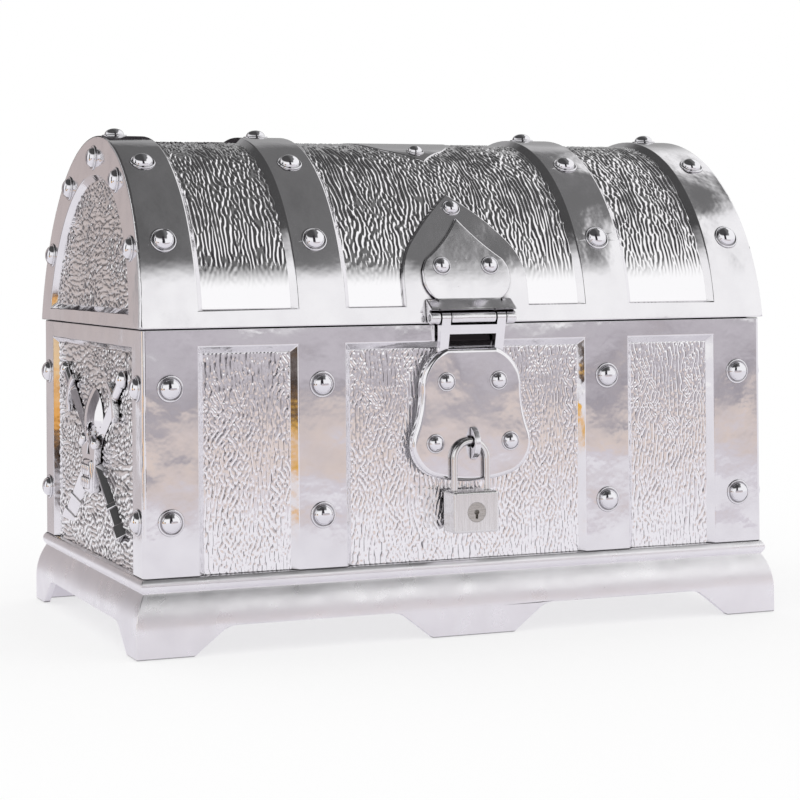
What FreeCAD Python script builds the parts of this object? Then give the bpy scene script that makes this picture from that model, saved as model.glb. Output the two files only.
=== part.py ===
import FreeCAD, Part
import math
import os

V = FreeCAD.Vector
X_AXIS = V(1, 0, 0)
Y_AXIS = V(0, 1, 0)
Z_AXIS = V(0, 0, 1)

# A table-top treasure chest in metallised plastic: a tub on a plinth with bracket feet, an arched
# lid hinged at the back, and a hasp with a small padlock at the front.
# Frame: X along the front, Y from front to back, Z up, origin on the floor under the tub's centre.
# All sizes are in millimetres.

# Tub
body_width = 200.0
body_depth = 120.0
seam_height = 92.0
plinth_height = 22.0
tub_wall = 4.0
tub_floor = 2.5
tub_edge_radius = 1.2
tub_inside_radius = 3.0
tongue_height = 2.0

# Lid
lid_rise = 57.5
lid_overhang = 1.0
lid_wall = 3.4
lid_end_lean = 2.9
lid_end_edge_radius = 0.8
seam_gap = 0.3
tongue_clearance = 0.6

# Raised bands and recessed panels
corner_band = 16.4
end_band = 11.0
inner_band_centre = 46.2
inner_band_width = 14.6
rail_height = 5.0
arch_frame = 11.8
arch_rail_height = 3.8
recess_depth = 2.0
recess_bevel = 2.0

# Smooth pads left standing in the middle panel of the lid
spade_half_width = 20.0
spade_shoulder_half = 15.5
spade_belly_height = 12.5
spade_shoulder_height = 24.5
spade_tip_height = 38.5
spade_edge_swell = 0.9
spade_flank_swell = 0.5
crest_half_length = 27.5
crest_half_width = 17.0
crest_neck_half = 9.5
crest_neck_length = 19.0
crest_edge_hollow = 0.4
crest_flank_swell = 1.4
crest_relief = 0.6

# Plinth and bracket feet
foot_offset = 2.9
neck_offset = 0.5
flare_bottom = 7.5
neck_drop = 4.8
bead_height = 3.9
bead_bulge = 1.0
plinth_wall = 2.2
deck_thickness = 3.0
foot_gap_height = 8.1
foot_slope = 38.0
foot_curve_radius = 8.0
front_foot_length = 16.9
end_foot_length = 10.9
middle_foot_half = 13.2

# Dome-headed studs
stud_head_radius = 3.8
stud_head_height = 2.4
stud_rim = 0.4
stud_shank_radius = 1.2
stud_shank_length = 1.1
stud_fit = 0.05
small_stud_head_radius = 2.8
small_stud_head_height = 1.9
stud_plinth_gap = 15.6
stud_seam_gap = 16.6
lid_stud_angles = (-62.0, -32.0, 0.0, 32.0, 62.0)
arch_stud_angles = (-63.0, -32.5, 0.0, 31.0, 61.0)
arch_stud_inset = 6.6
crest_stud_angle = 19.3

# Rear hinges
hinge_knuckle_radius = 3.4
hinge_pin_radius = 1.1
hinge_pin_fit = 0.05
hinge_leaf_knuckle = 6.0
hinge_base_knuckle = 4.0
hinge_side_gap = 0.3
hinge_wall_gap = 0.5
hinge_lug_reach = 10.5
hinge_strap_thickness = 1.2

# Hasp
hasp_knuckle_radius = 1.9
hasp_pin_radius = 0.8
hasp_pin_fit = 0.05
hasp_side_gap = 0.3
hasp_lid_gap = 0.3
hasp_axis_rise = 2.0
hasp_centre_knuckle = 14.4
hasp_arm_width = 2.8
hasp_end_knuckle = 3.2
hasp_bar_height = 2.7
hasp_block_height = 0.6
hasp_block_rise = 7.2
plate_thickness = 1.2
plate_foot_half = 10.3
plate_half_width = 14.1
plate_shoulder_half = 12.4
plate_foot_height = 7.0
plate_belly_height = 12.5
plate_shoulder_height = 19.0
plate_tip_height = 31.3
plate_flank_hollow = 0.5
plate_stud_half_span = 7.8
plate_stud_height = 17.0
tip_stud_height = 34.4
flap_thickness = 3.0
flap_body_gap = 0.3
flap_edge_radius = 1.4
flap_top_half = 8.0
flap_shoulder_half = 16.2
flap_waist_half = 16.6
flap_hip_half = 18.4
flap_lobe_half = 18.7
flap_foot_half = 12.5
flap_top_drop = 7.0
flap_shoulder_drop = 18.0
flap_waist_drop = 24.5
flap_hip_drop = 31.5
flap_lobe_drop = 38.5
flap_foot_drop = 44.8
flap_bottom_drop = 46.6
flap_shoulder_swell = 1.5
flap_high_stud_half_span = 8.4
flap_high_stud_drop = 16.9
flap_low_stud_half_span = 12.1
flap_low_stud_drop = 35.0

# Staple and padlock
staple_width = 2.0
staple_radius = 4.9
staple_sink = 1.1
staple_drop = 35.2
staple_hole_radius = 1.6
staple_hole_drop = 34.8
staple_hole_reach = 1.35
shackle_wire_radius = 0.95
shackle_half_span = 5.25
shackle_seat_gap = 0.75
shackle_visible_leg = 9.3
shackle_long_leg = 8.0
shackle_short_leg = 3.0
shackle_fit = 0.06
case_width = 14.4
case_height = 12.1
case_thickness = 8.4
case_edge_radius = 0.8
padlock_side_shift = -1.5
plug_radius = 2.9
plug_depth = 4.0
plug_fit = 0.05
keyhole_eye_radius = 0.8
keyhole_slot_half = 0.4
keyhole_slot_length = 1.9
keyhole_depth = 2.5

# End emblem, a skull over two crossed swords, as low relief on the panel
emblem_side_gap = 12.0
emblem_top_gap = 8.5
emblem_foot_gap = 4.5
skull_rise = 9.5
skull_radius = 11.0
skull_relief = 3.0
skull_cheek_half = 8.4
skull_cheek_drop = 6.0
skull_jaw_half = 5.4
skull_jaw_drop = 21.0
skull_jaw_relief = 2.2
skull_eye_radius = 3.2
skull_eye_half_span = 4.4
skull_eye_drop = 2.6
skull_nose_half = 1.7
skull_nose_top = 5.6
skull_nose_height = 3.8
skull_nose_floor = 0.9
skull_mouth_drop = 16.0
skull_mouth_height = 0.9
skull_tooth_pitch = 2.4
skull_tooth_height = 5.0
skull_mouth_floor = 1.3
sword_blade_half = 2.6
sword_blade_relief = 1.7
sword_grip_length = 11.0
sword_grip_radius = 1.8
sword_pommel_radius = 2.7
sword_guard_half = 6.5
sword_guard_curve = 9.0
sword_guard_thickness = 2.0
sword_guard_relief = 2.0

# Worked out from the sizes above
half_width = body_width / 2
half_depth = body_depth / 2
cut_margin = 10.0
lid_bottom = seam_height + seam_gap
lid_half_depth = half_depth + lid_overhang
lid_half_width = half_width + lid_overhang
arch_radius = (lid_half_depth ** 2 + lid_rise ** 2) / (2 * lid_rise)
arch_centre = lid_bottom + lid_rise - arch_radius
crest_radius = arch_radius - recess_depth + crest_relief
lean_slope = math.tan(math.radians(lid_end_lean))
panel_spans = (
    (-half_width + corner_band, -inner_band_centre - inner_band_width / 2),
    (-inner_band_centre + inner_band_width / 2, inner_band_centre - inner_band_width / 2),
    (inner_band_centre + inner_band_width / 2, half_width - corner_band),
)
band_centres = (
    -half_width + corner_band / 2,
    -inner_band_centre,
    inner_band_centre,
    half_width - corner_band / 2,
)
neck_height = plinth_height - neck_drop
bead_bottom = plinth_height - bead_height
tub_height = seam_height - plinth_height
panel_top = tub_height - rail_height
emblem_half_width = half_depth - end_band - emblem_side_gap
emblem_half_height = (panel_top - emblem_top_gap - emblem_foot_gap) / 2
flap_back = half_depth + flap_body_gap
flap_front = flap_back + flap_thickness
hasp_axis_y = -(lid_half_depth + hasp_lid_gap + hasp_knuckle_radius)
hasp_axis_z = seam_height + hasp_axis_rise
arm_inner = hasp_centre_knuckle / 2 + hasp_side_gap
arm_outer = arm_inner + hasp_arm_width
barrel_end = arm_outer + hasp_side_gap + hasp_end_knuckle
hasp_block_base = hasp_axis_z + hasp_knuckle_radius + hasp_side_gap
hinge_axis_y = lid_half_depth + hinge_wall_gap + hinge_knuckle_radius
hinge_half = hinge_leaf_knuckle / 2 + hinge_side_gap + hinge_base_knuckle
staple_hole_y = -(flap_front + staple_hole_reach)
staple_hole_z = seam_height - staple_hole_drop
shackle_rest_z = staple_hole_z - staple_hole_radius + shackle_seat_gap + shackle_wire_radius
shackle_rise = shackle_half_span - math.sqrt(shackle_half_span ** 2 - padlock_side_shift ** 2)
shackle_top_z = shackle_rest_z + shackle_rise
shackle_bend_z = shackle_top_z - shackle_half_span
case_top = shackle_bend_z - shackle_visible_leg
case_bottom = case_top - case_height
case_front = staple_hole_y - case_thickness / 2


# Drawing helpers
def line(a, b):
    return Part.LineSegment(a, b).toShape()


def arc(a, through, b):
    return Part.Arc(a, through, b).toShape()


def polygon(points):
    return Part.Face(Part.makePolygon(points + [points[0]]))


def block(x0, x1, y0, y1, z0, z1):
    return Part.makeBox(x1 - x0, y1 - y0, z1 - z0, V(x0, y0, z0))


def rod_x(radius, x0, x1, y, z):
    return Part.makeCylinder(radius, x1 - x0, V(x0, y, z), X_AXIS)


def upright_edges(solid):
    return [e for e in solid.Edges if e.BoundBox.XLength < 1e-6 and e.BoundBox.YLength < 1e-6]


def seat(origin, right, outward):
    """Placement whose local X runs right, local Z points outward from a surface."""
    up = outward.cross(right)
    return FreeCAD.Placement(origin, FreeCAD.Rotation(right, up, outward, "ZXY"))


def put(shape, placement):
    copy = shape.copy()
    copy.Placement = placement.multiply(copy.Placement)
    return copy


def spot(placement, across, up):
    """The placement moved across and up on its own surface."""
    return placement.multiply(FreeCAD.Placement(V(across, up, 0), FreeCAD.Rotation()))


# Walls of the tub and lid as surfaces to build on, each with its origin at the foot of the wall
front_wall = seat(V(0, -half_depth, plinth_height), X_AXIS, -Y_AXIS)
back_wall = seat(V(0, half_depth, plinth_height), -X_AXIS, Y_AXIS)
left_wall = seat(V(-half_width, 0, plinth_height), -Y_AXIS, -X_AXIS)
right_wall = seat(V(half_width, 0, plinth_height), Y_AXIS, X_AXIS)


def lid_end(side):
    """Surface of a lid end, side -1 for the left and 1 for the right, level with the arch's centre."""
    lean = math.radians(lid_end_lean)
    outward = V(side * math.cos(lean), 0, math.sin(lean))
    edge = lid_half_width - (arch_centre - lid_bottom) * lean_slope
    return seat(V(side * edge, 0, arch_centre), V(0, side, 0), outward)


def on_arch(x, angle, radius):
    """Surface of an arch of that radius at x, angle degrees forward of the ridge."""
    turn = math.radians(angle)
    outward = V(0, -math.sin(turn), math.cos(turn))
    origin = V(x, 0, arch_centre) + outward * radius
    return seat(origin, X_AXIS, outward)


# Studs
def stud(head_radius, head_height):
    """Domed head with a thin rim on a short shank, standing along local Z."""
    edges = [
        line(V(0, 0, -stud_shank_length), V(stud_shank_radius, 0, -stud_shank_length)),
        line(V(stud_shank_radius, 0, -stud_shank_length), V(stud_shank_radius, 0, 0)),
        line(V(stud_shank_radius, 0, 0), V(head_radius, 0, 0)),
        line(V(head_radius, 0, 0), V(head_radius, 0, stud_rim)),
    ]
    dome = head_height - stud_rim
    ball = (head_radius ** 2 + dome ** 2) / (2 * dome)
    half_turn = math.asin(head_radius / ball) / 2
    middle = V(ball * math.sin(half_turn), 0, head_height - ball + ball * math.cos(half_turn))
    edges.append(arc(V(head_radius, 0, stud_rim), middle, V(0, 0, head_height)))
    edges.append(line(V(0, 0, head_height), V(0, 0, -stud_shank_length)))
    return Part.Face(Part.Wire(edges)).revolve(V(0, 0, 0), Z_AXIS, 360)


big_stud = stud(stud_head_radius, stud_head_height)
small_stud = stud(small_stud_head_radius, small_stud_head_height)
stud_hole = Part.makeCylinder(
    stud_shank_radius + stud_fit, stud_shank_length + stud_fit, V(0, 0, 0), -Z_AXIS
)


def studs(shape, places):
    return Part.makeCompound([put(shape, place) for place in places])


def drill(solid, places):
    return solid.cut([put(stud_hole, place) for place in places])


stud_rows = (stud_plinth_gap, tub_height - stud_seam_gap)
front_places = [spot(front_wall, x, v) for x in band_centres for v in stud_rows]
back_places = [spot(back_wall, x, v) for x in band_centres for v in stud_rows]
end_spots = [(s * (half_depth - end_band / 2), v) for s in (-1, 1) for v in stud_rows]
left_places = [spot(left_wall, u, v) for u, v in end_spots]
right_places = [spot(right_wall, u, v) for u, v in end_spots]
lid_places = {a: [on_arch(x, a, arch_radius) for x in band_centres] for a in lid_stud_angles}
crest_places = [on_arch(0, a, crest_radius) for a in (-crest_stud_angle, crest_stud_angle)]


def arch_end_places(side):
    """Five places round the arched frame of a lid end, angles counted forward of the ridge."""
    reach = arch_radius - arch_stud_inset
    turns = [math.radians(-side * a) for a in arch_stud_angles]
    return [spot(lid_end(side), reach * math.sin(t), reach * math.cos(t)) for t in turns]


# Tub with recessed panels between the raised bands
def panel_cutter(u0, u1, v1):
    """Bevelled pocket for a flat wall, open at the foot of the wall."""
    low = -cut_margin
    slope = recess_bevel / recess_depth

    def ring(w):
        inset = -w * slope
        left = u0 + inset
        right = u1 - inset
        top = v1 - inset
        points = [V(left, low, w), V(right, low, w), V(right, top, w), V(left, top, w)]
        return Part.makePolygon(points + [points[0]])

    return Part.makeLoft([ring(recess_bevel), ring(-recess_depth)], True, True)


def body_tub():
    outer = block(-half_width, half_width, -half_depth, half_depth, plinth_height, seam_height)
    outer = outer.makeFillet(tub_edge_radius, upright_edges(outer))
    lip_x = lid_half_width - lid_wall - tongue_clearance
    lip_y = lid_half_depth - lid_wall - tongue_clearance
    root = seam_height - tongue_height
    tongue = block(-lip_x, lip_x, -lip_y, lip_y, root, seam_height + tongue_height)
    inner_x = half_width - tub_wall
    inner_y = half_depth - tub_wall
    hollow = block(
        -inner_x, inner_x, -inner_y, inner_y, plinth_height + tub_floor, seam_height + cut_margin
    )
    floor_edges = [e for e in hollow.Edges if e.BoundBox.ZMax < plinth_height + tub_floor + 1e-6]
    hollow = hollow.makeFillet(tub_inside_radius, upright_edges(hollow) + floor_edges)
    cutters = []
    for u0, u1 in panel_spans:
        cutter = panel_cutter(u0, u1, panel_top)
        cutters += [put(cutter, front_wall), put(cutter, back_wall)]
    end_cutter = panel_cutter(-half_depth + end_band, half_depth - end_band, panel_top)
    cutters += [put(end_cutter, left_wall), put(end_cutter, right_wall)]
    tub = outer.fuse(tongue).cut(hollow).cut(cutters)
    return drill(tub, front_places + back_places + left_places + right_places).removeSplitter()


# Plinth: one moulding section carried round the four sides, hollow below, cut away between the feet
def moulding(half, inset, top, bead):
    """Half-section of the moulding mirrored about the middle, as a face in local X and Z."""
    foot = half + foot_offset - inset
    neck = half + neck_offset - inset
    rise = neck_height - flare_bottom
    reach = foot_offset - neck_offset
    radius = (rise ** 2 + reach ** 2) / (2 * reach)
    turn = math.asin(rise / radius) / 2
    swell = V(foot - radius + radius * math.cos(turn), 0, flare_bottom + radius * math.sin(turn))
    side = [
        line(V(foot, 0, 0), V(foot, 0, flare_bottom)),
        arc(V(foot, 0, flare_bottom), swell, V(neck, 0, neck_height)),
    ]
    if bead:
        side.append(line(V(neck, 0, neck_height), V(half, 0, bead_bottom)))
        bulge = V(half + bead_bulge, 0, (bead_bottom + top) / 2)
        side.append(arc(V(half, 0, bead_bottom), bulge, V(half, 0, top)))
    else:
        side.append(line(V(neck, 0, neck_height), V(neck, 0, top)))
    end = half if bead else neck
    mirrored = [edge.mirror(V(0, 0, 0), X_AXIS) for edge in side]
    closing = [line(V(-foot, 0, 0), V(foot, 0, 0)), line(V(-end, 0, top), V(end, 0, top))]
    return Part.Face(Part.Wire(Part.__sortEdges__(side + mirrored + closing)))


def moulded_block(inset, top, bead):
    """Block with the moulding on all four sides and mitred corners."""
    long_half = half_width + cut_margin
    deep_half = half_depth + cut_margin
    along = moulding(half_depth, inset, top, bead)
    along.rotate(V(0, 0, 0), Z_AXIS, 90)
    along.translate(V(-long_half, 0, 0))
    across = moulding(half_width, inset, top, bead)
    across.translate(V(0, -deep_half, 0))
    return along.extrude(V(2 * long_half, 0, 0)).common(across.extrude(V(0, 2 * deep_half, 0)))


def foot_gap(u0, u1):
    """Opening between two feet, with a slope that curves into the level top, in local X and Z."""
    slope = math.radians(foot_slope)
    tangent = foot_curve_radius * math.tan(slope / 2)
    run = foot_gap_height / math.tan(slope)

    def shoulder(start, way):
        corner = start + way * run
        drop = tangent * math.sin(slope)
        low = V(corner - way * tangent * math.cos(slope), 0, foot_gap_height - drop)
        high = V(corner + way * tangent, 0, foot_gap_height)
        centre = V(high.x, 0, foot_gap_height - foot_curve_radius)
        half = slope / 2
        middle = centre + V(-way * math.sin(half), 0, math.cos(half)) * foot_curve_radius
        return low, middle, high

    low0, mid0, high0 = shoulder(u0, 1)
    low1, mid1, high1 = shoulder(u1, -1)
    edges = [
        line(V(u0, 0, -cut_margin), V(u0, 0, 0)),
        line(V(u0, 0, 0), low0),
        arc(low0, mid0, high0),
        line(high0, high1),
        arc(high1, mid1, low1),
        line(low1, V(u1, 0, 0)),
        line(V(u1, 0, 0), V(u1, 0, -cut_margin)),
        line(V(u1, 0, -cut_margin), V(u0, 0, -cut_margin)),
    ]
    return Part.Face(Part.Wire(edges))


def base_plinth():
    plinth = moulded_block(0, plinth_height, True)
    hollow = moulded_block(plinth_wall, plinth_height - deck_thickness, False)
    deep = 2 * (half_depth + foot_offset + cut_margin)
    wide = 2 * (half_width + foot_offset + cut_margin)
    inner_end = half_width + foot_offset - front_foot_length
    front_gap = foot_gap(-inner_end, -middle_foot_half)
    front_gap.translate(V(0, -deep / 2, 0))
    left_cut = front_gap.extrude(V(0, deep, 0))
    right_cut = left_cut.mirror(V(0, 0, 0), X_AXIS)
    end_half = half_depth + foot_offset - end_foot_length
    end_gap = foot_gap(-end_half, end_half)
    end_gap.rotate(V(0, 0, 0), Z_AXIS, 90)
    end_gap.translate(V(-wide / 2, 0, 0))
    end_cut = end_gap.extrude(V(wide, 0, 0))
    return plinth.cut([hollow, left_cut, right_cut, end_cut]).removeSplitter()


# Lid
def arch_block(radius, end_half, bottom):
    """Solid under an arch along X above the given level, its leaning ends end_half out at the seam."""
    top = arch_centre + radius + cut_margin
    low_half = end_half + (lid_bottom - bottom) * lean_slope
    top_half = end_half - (top - lid_bottom) * lean_slope
    ends = polygon(
        [V(-low_half, 0, bottom), V(low_half, 0, bottom), V(top_half, 0, top), V(-top_half, 0, top)]
    )
    drum = rod_x(radius, -low_half, low_half, 0, arch_centre)
    deep = 2 * (radius + cut_margin)
    ends.translate(V(0, -deep / 2, 0))
    return drum.common(ends.extrude(V(0, deep, 0)))


def arch_slab(x0, x1, inner, outer):
    """Part of a tube along the arch between two radii."""
    tube = rod_x(outer, x0, x1, 0, arch_centre)
    return tube.cut(rod_x(inner, x0 - cut_margin, x1 + cut_margin, 0, arch_centre))


def arch_panel_cutter(x0, x1):
    """Bevelled pocket between two bands of the lid, from rail to rail over the ridge."""
    slope = recess_bevel / recess_depth
    rim = arch_radius + recess_bevel
    floor = arch_radius - recess_depth
    section = polygon(
        [
            V(x0 - recess_bevel * slope, 0, arch_centre + rim),
            V(x1 + recess_bevel * slope, 0, arch_centre + rim),
            V(x1 - recess_bevel, 0, arch_centre + floor),
            V(x0 + recess_bevel, 0, arch_centre + floor),
        ]
    )
    seam_angle = math.degrees(math.acos((lid_bottom - arch_centre) / arch_radius))
    reach = seam_angle - math.degrees(rail_height / arch_radius)
    section.rotate(V(0, 0, arch_centre), X_AXIS, -reach)
    return section.revolve(V(0, 0, arch_centre), X_AXIS, 2 * reach)


def spade_pad():
    """Pointed pad behind the hasp, drawn upright and carried back through the lid's front."""
    foot = V(spade_half_width, 0, lid_bottom)
    belly = V(spade_half_width, 0, lid_bottom + spade_belly_height)
    shoulder = V(spade_shoulder_half, 0, lid_bottom + spade_shoulder_height)
    tip = V(0, 0, lid_bottom + spade_tip_height)
    turn = (belly + shoulder) / 2 + V(spade_edge_swell, 0, spade_edge_swell)
    flank = (shoulder + tip) / 2 + V(spade_flank_swell, 0, spade_flank_swell)
    side = [line(foot, belly), arc(belly, turn, shoulder), arc(shoulder, flank, tip)]
    other = [edge.mirror(V(0, 0, 0), X_AXIS) for edge in side]
    closing = [line(V(-foot.x, 0, foot.z), foot)]
    face = Part.Face(Part.Wire(Part.__sortEdges__(side + other + closing)))
    return face.extrude(V(0, -(arch_radius + cut_margin), 0))


def crest_pad():
    """Pointed pad across the ridge, drawn from above and carried up through the lid."""
    tip = V(0, -crest_half_length, arch_centre)
    neck = V(crest_neck_half, -crest_neck_length, arch_centre)
    side = V(crest_half_width, 0, arch_centre)
    hollow = (tip + neck) / 2 + V(-crest_edge_hollow, crest_edge_hollow, 0)
    swell = (neck + side) / 2 + V(crest_flank_swell, -crest_flank_swell, 0)
    quarter = [arc(tip, hollow, neck), arc(neck, swell, side)]
    half = quarter + [edge.mirror(V(0, 0, 0), Y_AXIS) for edge in quarter]
    whole = half + [edge.mirror(V(0, 0, 0), X_AXIS) for edge in half]
    face = Part.Face(Part.Wire(Part.__sortEdges__(whole)))
    column = face.extrude(V(0, 0, arch_radius))
    return column.common(rod_x(crest_radius, -half_width, half_width, 0, arch_centre))


def arch_end_cutter():
    """Bevelled pocket with a round top for a lid end, origin at the arch's centre."""
    slope = recess_bevel / recess_depth
    rail = lid_bottom + arch_rail_height - arch_centre

    def ring(w):
        radius = arch_radius - arch_frame + w * slope
        low = rail - w * slope
        half = math.sqrt(radius ** 2 - low ** 2)
        chord = line(V(-half, low, w), V(half, low, w))
        return Part.Wire([chord, arc(V(half, low, w), V(0, radius, w), V(-half, low, w))])

    return Part.makeLoft([ring(recess_bevel), ring(-recess_depth)], True, True)


def lid_shell():
    outer = arch_block(arch_radius, lid_half_width, lid_bottom)
    end_arcs = [
        e
        for e in outer.Edges
        if abs(e.CenterOfMass.x) > half_width - arch_frame and e.BoundBox.ZLength > lid_rise / 2
    ]
    outer = outer.makeFillet(lid_end_edge_radius, end_arcs)
    inner = arch_block(arch_radius - lid_wall, lid_half_width - lid_wall, lid_bottom - cut_margin)
    left, middle, right = [arch_panel_cutter(x0, x1) for x0, x1 in panel_spans]
    middle = middle.cut([spade_pad(), crest_pad()])
    ends = [put(arch_end_cutter(), lid_end(side)) for side in (-1, 1)]
    shell = outer.cut(inner).cut([left, middle, right] + ends)
    places = crest_places + [tip_place] + arch_end_places(-1) + arch_end_places(1)
    for row in lid_places.values():
        places = places + row
    return drill(shell, places)


# Rear hinges, one behind each inner band
def tangent_point(axis_y, axis_z, radius, y, z, side):
    """Where the line from (y, z) touches a circle, on the side given by 1 or -1."""
    away = math.hypot(y - axis_y, z - axis_z)
    turn = math.atan2(z - axis_z, y - axis_y) + side * math.acos(radius / away)
    return V(0, axis_y + radius * math.cos(turn), axis_z + radius * math.sin(turn))


def hinge_lug(x0, x1, reach, level):
    """Knuckle with a gusset to the wall, above the axis for a positive reach, else below it."""
    inside = lid_half_depth - lid_wall / 2 if reach > 0 else half_depth
    side = 1 if reach < 0 else -1
    corner = V(0, inside, seam_height + reach)
    touch = tangent_point(hinge_axis_y, seam_height, hinge_knuckle_radius, corner.y, corner.z, side)
    near = V(0, inside, seam_height + level)
    axis = V(0, hinge_axis_y, seam_height)
    gusset = polygon([near, corner, touch, axis, V(0, hinge_axis_y, near.z)])
    gusset.translate(V(x0, 0, 0))
    lug = gusset.extrude(V(x1 - x0, 0, 0))
    return lug.fuse(rod_x(hinge_knuckle_radius, x0, x1, hinge_axis_y, seam_height))


def hinge_bore(x):
    radius = hinge_pin_radius + hinge_pin_fit
    reach = hinge_half + cut_margin
    return rod_x(radius, x - reach, x + reach, hinge_axis_y, seam_height)


def hinge_base(x):
    """Fixed half: two knuckles on a strap across the tub's back wall."""
    inner = hinge_leaf_knuckle / 2 + hinge_side_gap
    low = seam_height - hinge_lug_reach
    high = seam_height - hinge_knuckle_radius - hinge_wall_gap
    outside = half_depth + hinge_strap_thickness
    strap = block(x - hinge_half, x + hinge_half, half_depth, outside, low, high)
    lugs = [hinge_lug(x - hinge_half, x - inner, -hinge_lug_reach, -hinge_wall_gap)]
    lugs.append(hinge_lug(x + inner, x + hinge_half, -hinge_lug_reach, -hinge_wall_gap))
    return strap.fuse(lugs).cut(hinge_bore(x)).removeSplitter()


def hinge_leaf(x):
    """Moving half: one knuckle on the lid's back, shaped to the arch."""
    half = hinge_leaf_knuckle / 2
    lug = hinge_lug(x - half, x + half, hinge_lug_reach, seam_gap + hinge_wall_gap)
    drum = rod_x(arch_radius, x - hinge_half, x + hinge_half, 0, arch_centre)
    return lug.cut([drum, hinge_bore(x)])


def hinge_pin(x):
    return rod_x(hinge_pin_radius, x - hinge_half, x + hinge_half, hinge_axis_y, seam_height)


# Hasp
def plate_place(across, height):
    """Place on the outside of the hasp plate at a height above the lid's bottom edge."""
    level = lid_bottom + height - arch_centre
    radius = arch_radius + plate_thickness
    return on_arch(across, math.degrees(math.acos(level / radius)), radius)


def hasp_plate():
    """Spade-shaped plate bent to the lid, with the fixed knuckles under a ledge at its foot."""
    foot = V(plate_foot_half, 0, lid_bottom + plate_foot_height)
    belly = V(plate_half_width, 0, lid_bottom + plate_belly_height)
    shoulder = V(plate_shoulder_half, 0, lid_bottom + plate_shoulder_height)
    tip = V(0, 0, lid_bottom + plate_tip_height)
    hollow = (shoulder + tip) / 2 - V(plate_flank_hollow, 0, plate_flank_hollow)
    low = V(plate_foot_half, 0, hasp_block_base)
    side = [line(low, foot), arc(foot, belly, shoulder), arc(shoulder, hollow, tip)]
    other = [edge.mirror(V(0, 0, 0), X_AXIS) for edge in side]
    closing = [line(V(-low.x, 0, low.z), low)]
    face = Part.Face(Part.Wire(Part.__sortEdges__(side + other + closing)))
    skin = arch_slab(-plate_half_width, plate_half_width, arch_radius, arch_radius + plate_thickness)
    plate = face.extrude(V(0, -(arch_radius + cut_margin), 0)).common(skin)
    front = hasp_axis_y - hasp_knuckle_radius
    base = hasp_block_base
    inside = -(lid_half_depth - lid_wall)
    section = polygon(
        [
            V(-barrel_end, inside, base),
            V(-barrel_end, front, base),
            V(-barrel_end, front, base + hasp_block_height),
            V(-barrel_end, -lid_half_depth, lid_bottom + hasp_block_rise),
            V(-barrel_end, inside, lid_bottom + hasp_block_rise),
        ]
    )
    plate = plate.fuse(section.extrude(V(2 * barrel_end, 0, 0)))
    half = hasp_centre_knuckle / 2
    outer = arm_outer + hasp_side_gap
    for x0, x1 in ((-barrel_end, -outer), (-half, half), (outer, barrel_end)):
        web = block(x0, x1, hasp_axis_y, inside, hasp_axis_z, base)
        plate = plate.fuse([web, rod_x(hasp_knuckle_radius, x0, x1, hasp_axis_y, hasp_axis_z)])
    drum = rod_x(arch_radius, -barrel_end - cut_margin, barrel_end + cut_margin, 0, arch_centre)
    return drill(plate.cut([drum, hasp_bore()]), plate_places).removeSplitter()


def hasp_bore():
    radius = hasp_pin_radius + hasp_pin_fit
    return rod_x(radius, -barrel_end - cut_margin, barrel_end + cut_margin, hasp_axis_y, hasp_axis_z)


def hasp_pin():
    return rod_x(hasp_pin_radius, -barrel_end, barrel_end, hasp_axis_y, hasp_axis_z)


def flap_place(across, drop):
    return seat(V(across, -flap_front, seam_height - drop), X_AXIS, -Y_AXIS)


def hasp_flap():
    """Pear-shaped flap hung from the barrel by two arms, with a cross bar above an open window."""

    def at(half, drop):
        return V(half, -flap_front, seam_height - drop)

    top = at(flap_top_half, flap_top_drop)
    shoulder = at(flap_shoulder_half, flap_shoulder_drop)
    turn = at(
        (flap_top_half + flap_shoulder_half) / 2 + flap_shoulder_swell,
        (flap_top_drop + flap_shoulder_drop) / 2 - flap_shoulder_swell,
    )
    hip = at(flap_hip_half, flap_hip_drop)
    foot = at(flap_foot_half, flap_foot_drop)
    side = [
        arc(top, turn, shoulder),
        arc(shoulder, at(flap_waist_half, flap_waist_drop), hip),
        arc(hip, at(flap_lobe_half, flap_lobe_drop), foot),
    ]
    other = [edge.mirror(V(0, 0, 0), X_AXIS) for edge in side]
    closing = [
        line(at(-flap_top_half, flap_top_drop), top),
        arc(at(-flap_foot_half, flap_foot_drop), at(0, flap_bottom_drop), foot),
    ]
    face = Part.Face(Part.Wire(Part.__sortEdges__(side + other + closing)))
    plate = face.extrude(V(0, flap_thickness, 0))
    rim = [e for e in plate.Edges if e.BoundBox.YMax < -flap_front + 1e-6]
    plate = plate.makeFillet(flap_edge_radius, rim)
    rear = hasp_axis_y + hasp_knuckle_radius
    root = seam_height - flap_top_drop
    section = polygon(
        [
            V(0, -flap_back, root - flap_thickness),
            V(0, -flap_back, root),
            V(0, rear, root + flap_thickness),
            V(0, rear, hasp_axis_z),
            V(0, hasp_axis_y - hasp_knuckle_radius, hasp_axis_z),
            V(0, -flap_front + flap_edge_radius, root - flap_thickness),
        ]
    )
    arms = []
    for x0 in (-arm_outer, arm_inner):
        arm = section.extrude(V(hasp_arm_width, 0, 0))
        arm.translate(V(x0, 0, 0))
        arms.append(arm)
        arms.append(rod_x(hasp_knuckle_radius, x0, x0 + hasp_arm_width, hasp_axis_y, hasp_axis_z))
    bar_top = hasp_axis_z - hasp_knuckle_radius - hasp_side_gap
    bar = section.extrude(V(2 * arm_outer, 0, 0))
    bar.translate(V(-arm_outer, 0, 0))
    reach = flap_front + cut_margin
    span = block(-arm_outer, arm_outer, -reach, 0, bar_top - hasp_bar_height, bar_top)
    arms.append(bar.common(span))
    flap = plate.fuse(arms).cut(hasp_bore())
    return drill(flap, flap_places).removeSplitter()


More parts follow.
